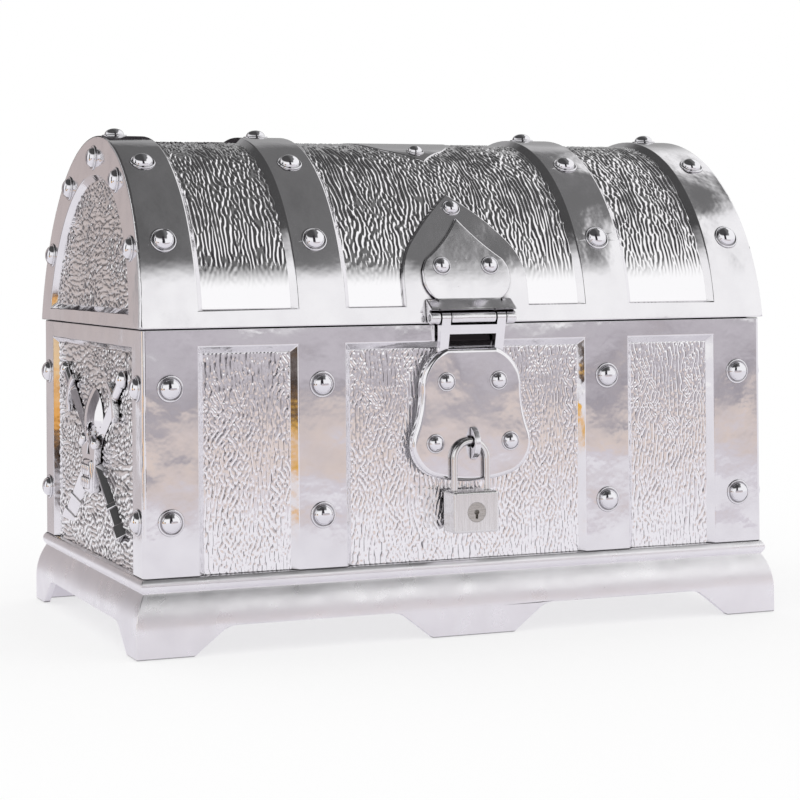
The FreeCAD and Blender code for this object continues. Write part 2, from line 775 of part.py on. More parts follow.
def hasp_staple():
    """Low round ear on the flap, open behind for the shackle."""
    centre_z = seam_height - staple_drop
    centre_y = staple_sink - flap_front
    ear = rod_x(staple_radius, -staple_width / 2, staple_width / 2, centre_y, centre_z)
    reach = staple_radius + cut_margin
    low = centre_z - reach
    high = centre_z + reach
    ear = ear.cut(block(-staple_width, staple_width, -flap_front, reach - flap_front, low, high))
    return ear.cut(rod_x(staple_hole_radius, -staple_width, staple_width, staple_hole_y, staple_hole_z))


# Padlock
def shackle_arch(radius):
    """Bent wire: a half-round top and two legs of unequal length."""
    left = padlock_side_shift - shackle_half_span
    right = padlock_side_shift + shackle_half_span
    low_left = case_top - shackle_long_leg
    low_right = case_top - shackle_short_leg
    path = Part.Wire(
        [
            line(V(left, staple_hole_y, low_left), V(left, staple_hole_y, shackle_bend_z)),
            arc(
                V(left, staple_hole_y, shackle_bend_z),
                V(padlock_side_shift, staple_hole_y, shackle_top_z),
                V(right, staple_hole_y, shackle_bend_z),
            ),
            line(V(right, staple_hole_y, shackle_bend_z), V(right, staple_hole_y, low_right)),
        ]
    )
    ring = Part.Wire([Part.makeCircle(radius, V(left, staple_hole_y, low_left), Z_AXIS)])
    return path.makePipeShell([ring], True, False)


def padlock_case():
    left = padlock_side_shift - case_width / 2
    right = padlock_side_shift + case_width / 2
    body = block(left, right, case_front, case_front + case_thickness, case_bottom, case_top)
    body = body.makeFillet(case_edge_radius, body.Edges)
    wells = []
    bore = shackle_wire_radius + shackle_fit
    for side, leg in ((-1, shackle_long_leg), (1, shackle_short_leg)):
        deep = leg + shackle_seat_gap
        floor = V(padlock_side_shift + side * shackle_half_span, staple_hole_y, case_top - deep)
        wells.append(Part.makeCylinder(bore, deep + cut_margin, floor, Z_AXIS))
    return body.cut(wells + [plug_cylinder(plug_radius + plug_fit, plug_depth + plug_fit)])


def plug_cylinder(radius, depth):
    middle = (case_top + case_bottom) / 2
    return Part.makeCylinder(radius, depth, V(padlock_side_shift, case_front, middle), Y_AXIS)


def padlock_plug():
    """Turning disc in the padlock's face with a round-and-slot keyhole."""
    middle = (case_top + case_bottom) / 2
    centre = V(padlock_side_shift, case_front, middle)
    eye = Part.makeCylinder(keyhole_eye_radius, keyhole_depth, centre, Y_AXIS)
    slot = block(
        padlock_side_shift - keyhole_slot_half,
        padlock_side_shift + keyhole_slot_half,
        case_front,
        case_front + keyhole_depth,
        middle - keyhole_slot_length,
        middle,
    )
    return plug_cylinder(plug_radius, plug_depth).cut(eye.fuse(slot))


# End emblem, drawn flat with local X across, local Y up and local Z out of the panel floor
def on_floor(solid):
    """The part of a solid that stands above the panel floor."""
    box = solid.BoundBox
    return solid.common(block(box.XMin, box.XMax, box.YMin, box.YMax, 0, box.ZMax))


def sword(side):
    """Sword from a lower corner of the emblem to the opposite upper corner, side 1 or -1."""
    reach = math.hypot(emblem_half_width, emblem_half_height)
    pommel_at = reach - sword_pommel_radius
    guard_at = pommel_at - sword_grip_length
    section = Part.makePolygon(
        [
            V(-sword_blade_half, guard_at, 0),
            V(sword_blade_half, guard_at, 0),
            V(0, guard_at, sword_blade_relief),
            V(-sword_blade_half, guard_at, 0),
        ]
    )
    blade = Part.makeLoft([section, Part.Vertex(0, -reach, 0)], True, True)
    bend = V(0, guard_at - sword_guard_curve, 0)
    outer = Part.makeCylinder(sword_guard_curve + sword_guard_thickness, sword_guard_relief, bend)
    inner = Part.makeCylinder(sword_guard_curve, sword_guard_relief, bend)
    top = bend.y + sword_guard_curve + sword_guard_thickness
    strip = block(-sword_guard_half, sword_guard_half, bend.y, top, 0, sword_guard_relief)
    guard = outer.cut(inner).common(strip)
    grip = Part.makeCylinder(sword_grip_radius, sword_grip_length, V(0, guard_at, 0), Y_AXIS)
    pommel = Part.makeSphere(sword_pommel_radius, V(0, pommel_at, 0))
    whole = blade.fuse([guard, on_floor(grip), on_floor(pommel)])
    lean = math.degrees(math.atan2(emblem_half_width, emblem_half_height))
    whole.rotate(V(0, 0, 0), Z_AXIS, side * lean)
    return whole


def skull():
    """Domed cranium and tapered face with sunk eyes, nose and teeth, centred on the cranium."""
    ball = (skull_radius ** 2 + skull_relief ** 2) / (2 * skull_relief)
    cranium = on_floor(Part.makeSphere(ball, V(0, 0, skull_relief - ball)))
    face = polygon(
        [
            V(-skull_cheek_half, -skull_cheek_drop, 0),
            V(-skull_jaw_half, -skull_jaw_drop, 0),
            V(skull_jaw_half, -skull_jaw_drop, 0),
            V(skull_cheek_half, -skull_cheek_drop, 0),
            V(0, 0, 0),
        ]
    ).extrude(V(0, 0, skull_jaw_relief))
    nose = polygon(
        [
            V(-skull_nose_half, -skull_nose_top - skull_nose_height, skull_nose_floor),
            V(skull_nose_half, -skull_nose_top - skull_nose_height, skull_nose_floor),
            V(0, -skull_nose_top, skull_nose_floor),
        ]
    ).extrude(V(0, 0, skull_relief))
    cuts = [nose]
    for side in (-1, 1):
        centre = V(side * skull_eye_half_span, -skull_eye_drop, skull_jaw_relief)
        cuts.append(Part.makeSphere(skull_eye_radius, centre))
    mouth_half = skull_jaw_half - skull_mouth_height
    cuts.append(slot_cut(0, mouth_half, skull_mouth_height / 2))
    for step in (-1, 0, 1):
        cuts.append(slot_cut(step * skull_tooth_pitch, skull_mouth_height / 2, skull_tooth_height / 2))
    return cranium.fuse(face).cut(cuts)


def slot_cut(across, half_long, half_high):
    """Cutter for a slot in the skull's mouth."""
    low = -skull_mouth_drop - half_high
    high = -skull_mouth_drop + half_high
    return block(across - half_long, across + half_long, low, high, skull_mouth_floor, skull_relief)


def end_emblem(wall_place):
    head = skull()
    head.translate(V(0, skull_rise, 0))
    relief = head.fuse([sword(1), sword(-1)]).removeSplitter()
    floor = spot(wall_place, 0, emblem_foot_gap + emblem_half_height)
    return put(relief, floor.multiply(FreeCAD.Placement(V(0, 0, -recess_depth), FreeCAD.Rotation())))


plate_places = [plate_place(side * plate_stud_half_span, plate_stud_height) for side in (-1, 1)]
tip_angle = math.degrees(math.acos((lid_bottom + tip_stud_height - arch_centre) / arch_radius))
tip_place = on_arch(0, tip_angle, arch_radius)
flap_places = [
    flap_place(side * half, drop)
    for half, drop in (
        (flap_high_stud_half_span, flap_high_stud_drop),
        (flap_low_stud_half_span, flap_low_stud_drop),
    )
    for side in (-1, 1)
]

nodes = {
    "body_tub": body_tub(),
    "base_plinth": base_plinth(),
    "front_studs": studs(big_stud, front_places),
    "back_studs": studs(big_stud, back_places),
    "left_end_studs": studs(big_stud, left_places),
    "right_end_studs": studs(big_stud, right_places),
    "left_emblem": end_emblem(left_wall),
    "right_emblem": end_emblem(right_wall),
    "lid_shell": lid_shell(),
    "lid_left_end_studs": studs(big_stud, arch_end_places(-1)),
    "lid_right_end_studs": studs(big_stud, arch_end_places(1)),
    "crest_studs": studs(small_stud, crest_places),
    "hasp_plate": hasp_plate(),
    "hasp_plate_studs": studs(small_stud, plate_places + [tip_place]),
    "hasp_pin": hasp_pin(),
    "hasp_flap": hasp_flap(),
    "hasp_flap_studs": studs(small_stud, flap_places),
    "hasp_staple": hasp_staple(),
    "padlock_shackle": shackle_arch(shackle_wire_radius),
    "padlock_case": padlock_case(),
    "padlock_plug": padlock_plug(),
}
lid_rows = ("back_low", "back_high", "ridge", "front_high", "front_low")
for row, angle in zip(lid_rows, lid_stud_angles):
    nodes["lid_" + row + "_studs"] = studs(big_stud, lid_places[angle])
for hand, x in (("left", -inner_band_centre), ("right", inner_band_centre)):
    nodes["rear_hinge_base_" + hand] = hinge_base(x)
    nodes["rear_hinge_leaf_" + hand] = hinge_leaf(x)
    nodes["rear_hinge_pin_" + hand] = hinge_pin(x)

os.makedirs("parts", exist_ok=True)
for name, shape in nodes.items():
    shape.exportStep("parts/" + name + ".step")
    print(name, len(shape.Solids), "solids", round(shape.Volume, 1), "mm3", shape.isValid())
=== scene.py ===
import bpy
import math
from mathutils import Matrix, Vector


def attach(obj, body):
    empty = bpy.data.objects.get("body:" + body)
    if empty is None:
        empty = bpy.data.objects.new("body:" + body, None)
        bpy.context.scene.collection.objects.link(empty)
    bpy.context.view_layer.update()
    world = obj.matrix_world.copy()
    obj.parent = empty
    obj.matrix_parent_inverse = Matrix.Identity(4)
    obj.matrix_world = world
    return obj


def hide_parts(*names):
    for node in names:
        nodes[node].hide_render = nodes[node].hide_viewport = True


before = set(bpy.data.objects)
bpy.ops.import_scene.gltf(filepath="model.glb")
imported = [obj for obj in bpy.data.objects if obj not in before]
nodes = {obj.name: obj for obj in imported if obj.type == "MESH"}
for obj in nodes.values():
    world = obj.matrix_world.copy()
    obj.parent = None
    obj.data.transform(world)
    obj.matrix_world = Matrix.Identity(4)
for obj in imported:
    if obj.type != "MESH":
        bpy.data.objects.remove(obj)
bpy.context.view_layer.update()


# Plinth: the hollow base of the chest, with a bead, a swelling flare and bracket feet.
# It is injection-moulded in ABS, lacquered, silvered in vacuum and lacquered again,
# and it is welded under the tub.
moulded_edge = 0.0003
same_point = 0.00001


def linear(code):
    """sRGB hex colour as linear RGBA."""
    parts = [int(code[i : i + 2], 16) / 255 for i in (1, 3, 5)]
    return [c / 12.92 if c <= 0.04045 else ((c + 0.055) / 1.055) ** 2.4 for c in parts] + [1.0]


def add_node(tree, kind, inputs, **settings):
    """Adds a node, gives it its settings, and sets or links its inputs."""
    node = tree.nodes.new(kind)
    for name, value in settings.items():
        setattr(node, name, value)
    for key, value in inputs.items():
        if isinstance(value, bpy.types.NodeSocket):
            tree.links.new(value, node.inputs[key])
        else:
            node.inputs[key].default_value = value
    return node


def mirror_skin(name, bright, dull, polish, haze, ripple, shade_reach):
    """Thin mirror of silver vapour or nickel plate: it ripples with what is under it, is hazed and
    scratched by handling, and has painted shade, a grey base colour, in corners closer than the
    given size."""
    sink_spacing = 0.022
    wave_spacing = 0.005
    patch_size = 0.009
    # Scratches about 12 mm long, drawn 0.35 mm wide so that they show in the render.
    scratch_size = (0.00035, 0.00035, 0.012)
    scratch_slant = (0.5, 1.1, 0.5)
    scratch_haze = 0.12
    material = bpy.data.materials.new(name)
    material.use_nodes = True
    tree = material.node_tree
    shader = tree.nodes["Principled BSDF"]
    shader.inputs["Metallic"].default_value = 1.0
    place = add_node(tree, "ShaderNodeTexCoord", {}).outputs["Object"]
    sink = add_node(
        tree,
        "ShaderNodeTexNoise",
        {"Vector": place, "Scale": 1 / sink_spacing, "Detail": 1.0},
    )
    lacquer = add_node(
        tree,
        "ShaderNodeTexNoise",
        {"Vector": place, "Scale": 1 / wave_spacing, "Detail": 2.0},
    )
    patch = add_node(
        tree,
        "ShaderNodeTexNoise",
        {"Vector": place, "Scale": 1 / patch_size, "Detail": 5.0},
    )
    slant = add_node(
        tree,
        "ShaderNodeMapping",
        {"Vector": place, "Rotation": scratch_slant, "Scale": scratch_size},
        vector_type="TEXTURE",
    )
    hair = add_node(
        tree,
        "ShaderNodeTexNoise",
        {"Vector": slant.outputs["Vector"], "Scale": 1.0, "Detail": 1.0},
    )
    scratch = add_node(
        tree,
        "ShaderNodeMapRange",
        {"Value": hair.outputs["Fac"], "From Min": 0.72, "From Max": 0.80},
    )
    colour = add_node(tree, "ShaderNodeMix", {"Factor": patch.outputs["Fac"]}, data_type="RGBA")
    colour.inputs["A"].default_value = linear(dull)
    colour.inputs["B"].default_value = linear(bright)
    # Painted shade: in corners and hollows closer than the given size, where shade falls, the base
    # colour goes to grey.
    shade = add_node(tree, "ShaderNodeAmbientOcclusion", {"Distance": shade_reach}, samples=8)
    corner_shade = add_node(
        tree,
        "ShaderNodeMapRange",
        {"Value": shade.outputs["AO"], "From Min": 0.3, "From Max": 0.85},
    )
    shaded_colour = add_node(
        tree,
        "ShaderNodeMix",
        {"Factor": corner_shade.outputs["Result"], "B": colour.outputs["Result"]},
        data_type="RGBA",
    )
    shaded_colour.inputs["A"].default_value = linear("#4B474A")
    tree.links.new(shaded_colour.outputs["Result"], shader.inputs["Base Color"])
    rough = add_node(
        tree,
        "ShaderNodeMapRange",
        {
            "Value": patch.outputs["Fac"],
            "From Min": 0.35,
            "From Max": 0.7,
            "To Min": haze,
            "To Max": polish,
        },
    )
    worn = add_node(
        tree,
        "ShaderNodeMath",
        {0: scratch.outputs["Result"], 1: scratch_haze, 2: rough.outputs["Result"]},
        operation="MULTIPLY_ADD",
    )
    tree.links.new(worn.outputs["Value"], shader.inputs["Roughness"])
    deep = add_node(
        tree,
        "ShaderNodeBump",
        {"Height": sink.outputs["Fac"], "Distance": ripple, "Strength": 1.0},
    )
    wavy = add_node(
        tree,
        "ShaderNodeBump",
        {
            "Height": lacquer.outputs["Fac"],
            "Distance": ripple / 12,
            "Strength": 1.0,
            "Normal": deep.outputs["Normal"],
        },
    )
    tree.links.new(wavy.outputs["Normal"], shader.inputs["Normal"])
    return material


def eased(node, body, edge, material):
    """Copy of a CAD node that stands for it, with its edges rounded as they leave the mould."""
    piece = bpy.data.objects.new(node + "_eased", nodes[node].data.copy())
    bpy.context.scene.collection.objects.link(piece)
    bpy.ops.object.select_all(action="DESELECT")
    piece.select_set(True)
    bpy.context.view_layer.objects.active = piece
    bpy.ops.mesh.customdata_custom_splitnormals_clear()
    bpy.ops.object.mode_set(mode="EDIT")
    bpy.ops.mesh.select_all(action="SELECT")
    bpy.ops.mesh.remove_doubles(threshold=same_point)
    bpy.ops.mesh.dissolve_limited(angle_limit=math.radians(0.2))
    bpy.ops.object.mode_set(mode="OBJECT")
    bpy.ops.object.shade_smooth()
    rounding = piece.modifiers.new("rounding", "BEVEL")
    rounding.width = edge
    rounding.segments = 2
    rounding.limit_method = "ANGLE"
    rounding.angle_limit = math.radians(28)
    rounding.use_clamp_overlap = False
    bpy.ops.object.modifier_apply(modifier="rounding")
    piece.modifiers.new("flats", "WEIGHTED_NORMAL")
    bpy.ops.object.modifier_apply(modifier="flats")
    piece.data.materials.clear()
    piece.data.materials.append(material)
    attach(piece, body)
    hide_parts(node)


# Silvered ABS under a duller lacquer: a pale, even sheen that blurs what it mirrors.
plinth_silver = mirror_skin(
    "silvered_abs_plinth",
    bright="#FCFBFD",
    dull="#F1EFF3",
    polish=0.24,
    haze=0.36,
    ripple=0.0006,
    shade_reach=0.0009,
)
eased("base_plinth", "chest", moulded_edge, plinth_silver)


# Tub: the rectangular box with raised bands, bevelled recesses and a tongue that locates the lid.
# It is one moulding in silvered ABS, with blind holes for the studs, and stands on the plinth.
shadow_middle = (0.0008, -0.0592, 0.0876)
shadow_half = (0.0078, 0.0016, 0.0024)
# Silvered ABS: a bright mirror with soft waves, with painted shade in a narrow line along its
# corners.
tub_silver = mirror_skin(
    "silvered_abs_tub",
    bright="#F6F5F7",
    dull="#E6E4E8",
    polish=0.05,
    haze=0.14,
    ripple=0.0009,
    shade_reach=0.0014,
)
# Painted shadow: the top rail behind the bar of the hasp, where shade falls, is painted dark.
tree = tub_silver.node_tree
face = tree.nodes["Principled BSDF"]
place = add_node(tree, "ShaderNodeTexCoord", {}).outputs["Object"]
spot = add_node(
    tree,
    "ShaderNodeMapping",
    {"Vector": place, "Location": shadow_middle, "Scale": shadow_half},
    vector_type="TEXTURE",
)
off = add_node(tree, "ShaderNodeVectorMath", {0: spot.outputs["Vector"]}, operation="ABSOLUTE")
apart = add_node(tree, "ShaderNodeSeparateXYZ", {"Vector": off.outputs["Vector"]})
level = add_node(
    tree,
    "ShaderNodeMath",
    {0: apart.outputs["X"], 1: apart.outputs["Z"]},
    operation="MAXIMUM",
)
far = add_node(
    tree,
    "ShaderNodeMath",
    {0: level.outputs["Value"], 1: apart.outputs["Y"]},
    operation="MAXIMUM",
)
shadow_mask = add_node(
    tree,
    "ShaderNodeMapRange",
    {"Value": far.outputs["Value"], "From Min": 0.9, "From Max": 1.0, "To Min": 1.0, "To Max": 0.0},
)
silver = face.inputs["Base Color"].links[0].from_socket
painted_shadow = add_node(
    tree,
    "ShaderNodeMix",
    {"Factor": shadow_mask.outputs["Result"], "A": silver},
    data_type="RGBA",
)
painted_shadow.inputs["B"].default_value = linear("#2E2A2C")
tree.links.new(painted_shadow.outputs["Result"], face.inputs["Base Color"])
eased("body_tub", "chest", moulded_edge, tub_silver)


# Grained skins on the tub: the cast wood grain in the recessed panels of the front, back and ends.
# On the real moulding, in silvered ABS, it is engraved in the tool; here each panel is a sheet of
# relief on the recess floor, with a skirt that goes down into it.
half_width = 0.1
half_depth = 0.06
corner_band = 0.0164
end_band = 0.011
band_centre = 0.0462
band_half = 0.0073
panel_bevel = 0.002
panel_floor_depth = 0.002
tub_foot = 0.022
panel_top = 0.087
skin_lap = 0.0005
skirt_depth = 0.0004
band_edge = half_width - corner_band
panel_inner = band_centre - band_half
panel_outer = band_centre + band_half
panel_spans = (
    ("left", -band_edge, -panel_outer),
    ("middle", -panel_inner, panel_inner),
    ("right", panel_outer, band_edge),
)

drift_scale = (1 / 0.010, 0.0, 1 / 0.030)
drift_aside = 0.0035
patch_scale = (1 / 0.009, 0.0, 1 / 0.020)
seed_stride = 0.01
knot_size = 0.003
stroke_width = 0.0016
fade_begin = 0.058
fade_finish = 0.074
grain_relief = bpy.data.node_groups.new("cast_wood_grain", "GeometryNodeTree")
grain_relief.interface.new_socket("Sheet", in_out="INPUT", socket_type="NodeSocketGeometry")
grain_inputs = {}
for name in ("Seed", "Height", "Order", "Spacing", "Length", "Round", "Stroke"):
    socket = grain_relief.interface.new_socket(
        name, in_out="INPUT", socket_type="NodeSocketFloat"
    )
    grain_inputs[name] = socket.identifier
grain_relief.interface.new_socket("Sheet", in_out="OUTPUT", socket_type="NodeSocketGeometry")
given = add_node(grain_relief, "NodeGroupInput", {})
where = add_node(grain_relief, "GeometryNodeInputPosition", {})
shift = add_node(
    grain_relief,
    "ShaderNodeCombineXYZ",
    {"X": given.outputs["Seed"], "Y": given.outputs["Seed"]},
)
# The lines run up the panel. They drift to the side by up to 3.5 mm, over 10 by 30 mm.
drift = add_node(
    grain_relief,
    "ShaderNodeVectorMath",
    {0: where.outputs["Position"], 1: drift_scale, 2: shift.outputs["Vector"]},
    operation="MULTIPLY_ADD",
)
lean = add_node(
    grain_relief,
    "ShaderNodeTexNoise",
    {"Vector": drift.outputs["Vector"], "Scale": 1.0, "Detail": 1.5},
)
place = add_node(grain_relief, "ShaderNodeSeparateXYZ", {"Vector": where.outputs["Position"]})
aside = add_node(
    grain_relief,
    "ShaderNodeMath",
    {0: lean.outputs["Fac"], 1: drift_aside, 2: place.outputs["X"]},
    operation="MULTIPLY_ADD",
)
away = add_node(
    grain_relief,
    "ShaderNodeMath",
    {0: given.outputs["Seed"], 1: seed_stride, 2: aside.outputs["Value"]},
    operation="MULTIPLY_ADD",
)
along = add_node(
    grain_relief,
    "ShaderNodeMath",
    {0: place.outputs["Z"], 1: given.outputs["Length"]},
    operation="DIVIDE",
)
flow = add_node(
    grain_relief,
    "ShaderNodeCombineXYZ",
    {"X": away.outputs["Value"], "Y": along.outputs["Value"]},
)
# Straight grain and curly, knotted grain change over in patches 9 by 20 mm.
patch = add_node(
    grain_relief,
    "ShaderNodeVectorMath",
    {0: where.outputs["Position"], 1: patch_scale, 2: shift.outputs["Vector"]},
    operation="MULTIPLY_ADD",
)
curl = add_node(
    grain_relief,
    "ShaderNodeTexNoise",
    {"Vector": patch.outputs["Vector"], "Scale": 1.0, "Detail": 1.0},
)
order = add_node(
    grain_relief,
    "ShaderNodeMapRange",
    {
        "Value": curl.outputs["Fac"],
        "From Min": 0.42,
        "From Max": 0.64,
        "To Max": 1.0,
        "To Min": given.outputs["Order"],
    },
)
# A knot, the cell in which lines keep one direction, is 3 mm wide.
pitch = add_node(
    grain_relief,
    "ShaderNodeMath",
    {0: knot_size, 1: given.outputs["Spacing"]},
    operation="DIVIDE",
)
lines = add_node(
    grain_relief,
    "ShaderNodeTexGabor",
    {
        "Vector": flow.outputs["Vector"],
        "Scale": 1 / knot_size,
        "Frequency": pitch.outputs["Value"],
        "Anisotropy": order.outputs["Result"],
        "Orientation": 0.0,
    },
)
# Across a line the relief goes from a sharp roof to a rounded back with a narrow groove.
turn = add_node(
    grain_relief,
    "ShaderNodeMath",
    {0: lines.outputs["Phase"], 1: 2.0, 2: -1.0},
    operation="MULTIPLY_ADD",
)
roof = add_node(grain_relief, "ShaderNodeMath", {0: turn.outputs["Value"]}, operation="ABSOLUTE")
under = add_node(
    grain_relief,
    "ShaderNodeMath",
    {0: 1.0, 1: roof.outputs["Value"]},
    operation="SUBTRACT",
)
bulge = add_node(
    grain_relief,
    "ShaderNodeMath",
    {0: roof.outputs["Value"], 1: under.outputs["Value"]},
    operation="MULTIPLY",
)
back = add_node(
    grain_relief,
    "ShaderNodeMath",
    {0: bulge.outputs["Value"], 1: given.outputs["Round"], 2: roof.outputs["Value"]},
    operation="MULTIPLY_ADD",
)
wave = add_node(
    grain_relief,
    "ShaderNodeMath",
    {0: back.outputs["Value"], 1: 2.0, 2: -1.0},
    operation="MULTIPLY_ADD",
)
# Each line is broken into strokes 1.6 mm wide and of about the given length.
cut_along = add_node(
    grain_relief,
    "ShaderNodeMath",
    {0: 1.0, 1: given.outputs["Stroke"]},
    operation="DIVIDE",
)
cut_scale = add_node(
    grain_relief,
    "ShaderNodeCombineXYZ",
    {"X": 1 / stroke_width, "Z": cut_along.outputs["Value"]},
)
cut = add_node(
    grain_relief,
    "ShaderNodeVectorMath",
    {0: where.outputs["Position"], 1: cut_scale.outputs["Vector"], 2: shift.outputs["Vector"]},
    operation="MULTIPLY_ADD",
)
gap = add_node(
    grain_relief,
    "ShaderNodeTexNoise",
    {"Vector": cut.outputs["Vector"], "Scale": 1.0, "Detail": 1.0},
)
stroke = add_node(
    grain_relief,
    "ShaderNodeMapRange",
    {
        "Value": gap.outputs["Fac"],
        "From Min": 0.32,
        "From Max": 0.46,
        "To Min": 0.15,
        "To Max": 1.0,
    },
)
# Where two lines meet, the relief fades out.
ends = add_node(
    grain_relief,
    "ShaderNodeMapRange",
    {
        "Value": lines.outputs["Intensity"],
        "From Min": 0.0,
        "From Max": 0.12,
        "To Min": 0.0,
        "To Max": 0.5,
    },
)
# On the long sheets of the lid the relief runs low towards the rails, 58 to 74 mm from the ridge.
far = add_node(grain_relief, "ShaderNodeMath", {0: place.outputs["Z"]}, operation="ABSOLUTE")
fade = add_node(
    grain_relief,
    "ShaderNodeMapRange",
    {
        "Value": far.outputs["Value"],
        "From Min": fade_begin,
        "From Max": fade_finish,
        "To Min": 1.0,
        "To Max": 0.05,
    },
)
faded = add_node(
    grain_relief,
    "ShaderNodeMath",
    {0: ends.outputs["Result"], 1: fade.outputs["Result"]},
    operation="MULTIPLY",
)
whole = add_node(
    grain_relief,
    "ShaderNodeMath",
    {0: stroke.outputs["Result"], 1: faded.outputs["Value"]},
    operation="MULTIPLY",
)
level = add_node(
    grain_relief,
    "ShaderNodeMath",
    {0: wave.outputs["Value"], 1: whole.outputs["Value"], 2: 0.5},
    operation="MULTIPLY_ADD",
)
lift = add_node(
    grain_relief,
    "ShaderNodeMath",
    {0: level.outputs["Value"], 1: given.outputs["Height"]},
    operation="MULTIPLY",
)
proud = add_node(
    grain_relief,
    "ShaderNodeMath",
    {0: lift.outputs["Value"], 1: -1.0},
    operation="MULTIPLY",
)
offset = add_node(grain_relief, "ShaderNodeCombineXYZ", {"Y": proud.outputs["Value"]})
marked = add_node(
    grain_relief,
    "GeometryNodeStoreNamedAttribute",
    {"Geometry": given.outputs["Sheet"], "Name": "grain", "Value": level.outputs["Value"]},
    data_type="FLOAT",
    domain="POINT",
)
raised = add_node(
    grain_relief,
    "GeometryNodeSetPosition",
    {"Geometry": marked.outputs["Geometry"], "Offset": offset.outputs["Vector"]},
)
add_node(grain_relief, "NodeGroupOutput", {"Sheet": raised.outputs["Geometry"]})


def grained_sheet(name, width, height, seed, cast, steps):
    """Upright sheet facing -Y, centred on the origin, with the grain standing on it."""
    bpy.ops.object.select_all(action="DESELECT")
    bpy.ops.mesh.primitive_grid_add(
        x_subdivisions=round(width / steps[0]),
        y_subdivisions=round(height / steps[1]),
        size=1,
        rotation=(math.pi / 2, 0, 0),
    )
    sheet = bpy.context.object
    sheet.name = name
    sheet.scale = (width, height, 1)
    bpy.ops.object.transform_apply()
    relief = sheet.modifiers.new("relief", "NODES")
    relief.node_group = grain_relief
    relief[grain_inputs["Seed"]] = seed
    for setting, value in cast.items():
        relief[grain_inputs[setting]] = value
    bpy.ops.object.modifier_apply(modifier="relief")
    bpy.ops.object.shade_smooth()
    return sheet


def settle(sheet, turn, place, body, finish):
    """Turns a sheet about the upright axis, sets it on its wall with a skirt behind its rim, and
    fixes it to its body."""
    sheet.matrix_world = Matrix.Translation(place) @ Matrix.Rotation(turn, 4, "Z")
    bpy.ops.object.transform_apply()
    skirt = sheet.modifiers.new("skirt", "SOLIDIFY")
    skirt.thickness = skirt_depth
    skirt.offset = -1.0
    skirt.use_rim_only = True
    bpy.ops.object.modifier_apply(modifier="skirt")
    sheet.data.materials.append(finish)
    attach(sheet, body)


def grained_silver(name, ridge, groove_shade, crest, polish, haze):
    """The same silvered ABS over the engraved grain, duller down in the grooves, where a grey
    painted shade darkens it.
    """
    material = bpy.data.materials.new(name)
    material.use_nodes = True
    tree = material.node_tree
    shader = tree.nodes["Principled BSDF"]
    shader.inputs["Metallic"].default_value = 1.0
    grain = add_node(tree, "ShaderNodeAttribute", {}, attribute_name="grain")
    rise = add_node(
        tree,
        "ShaderNodeMapRange",
        {"Value": grain.outputs["Fac"], "From Min": 0.08, "From Max": crest},
    )
    # Painted shade: the base colour goes from the ridge colour to a grey down in the grooves.
    colour = add_node(tree, "ShaderNodeMix", {"Factor": rise.outputs["Result"]}, data_type="RGBA")
    colour.inputs["A"].default_value = linear(groove_shade)
    colour.inputs["B"].default_value = linear(ridge)
    tree.links.new(colour.outputs["Result"], shader.inputs["Base Color"])
    rough = add_node(
        tree,
        "ShaderNodeMapRange",
        {
            "Value": grain.outputs["Fac"],
            "From Min": 0.0,
            "From Max": 0.6,
            "To Min": haze,
            "To Max": polish,
        },
    )
    tree.links.new(rough.outputs["Result"], shader.inputs["Roughness"])
    return material


# Silvered ABS over fine upright grain: a frosty glitter with thin grey lines of painted shade in
# the grooves.
tub_grain = grained_silver(
    "silvered_abs_grain",
    ridge="#FAF9FB",
    groove_shade="#5E5A60",
    crest=0.42,
    polish=0.08,
    haze=0.18,
)
tub_cast = {
    "Height": 0.00015,
    "Order": 0.45,
    "Spacing": 0.0013,
    "Length": 1.2,
    "Round": 1.0,
    "Stroke": 0.0018,
}
tub_steps = (0.00025, 0.0003)
front_seed = 3.1
back_seed = 41.7
seed_step = 90
panel_rise = panel_top - tub_foot - panel_bevel
panel_middle = tub_foot + panel_rise / 2
wall_y = half_depth - panel_floor_depth
for hand, x0, x1 in panel_spans:
    wide = x1 - x0 - 2 * panel_bevel + 2 * skin_lap
    centre = (x0 + x1) / 2
    for wall, seed, side in (("front", front_seed, -1), ("back", back_seed, 1)):
        sheet = grained_sheet(
            wall + "_grain_" + hand,
            wide,
            panel_rise,
            seed + centre * seed_step,
            tub_cast,
            tub_steps,
        )
        stand = Vector((-side * centre, side * wall_y, panel_middle))
        settle(sheet, math.pi * (side > 0), stand, "chest", tub_grain)

# Silvered ABS over coarse grain across the ends: white ridges with dark, broken lines of painted
# shade between them.
end_grain = grained_silver(
    "silvered_abs_end_grain",
    ridge="#FFFFFF",
    groove_shade="#464244",
    crest=0.64,
    polish=0.06,
    haze=0.16,
)
end_cast = {
    "Height": 0.00045,
    "Order": 0.0,
    "Spacing": 0.0018,
    "Length": 1.5,
    "Round": 0.6,
    "Stroke": 0.0036,
}
end_steps = (0.00025, 0.00035)
end_seed = 70.3
end_wide = 2 * (half_depth - end_band - panel_bevel + skin_lap)
wall_x = half_width - panel_floor_depth
for hand, side in (("left", -1), ("right", 1)):
    end = grained_sheet(
        hand + "_end_grain", panel_rise, end_wide, end_seed + side, end_cast, end_steps
    )
    end.matrix_world = Matrix.Rotation(math.pi / 2, 4, "Y")
    bpy.ops.object.transform_apply()
    stand = Vector((side * wall_x, 0, panel_middle))
    settle(end, side * math.pi / 2, stand, "chest", end_grain)


# End emblems: a skull over two crossed swords in low relief, part of the tub's moulding on the
# real chest, in the same silvered ABS. They stand on the ridges of the grain, so that the points
# of the swords stay clear of it.

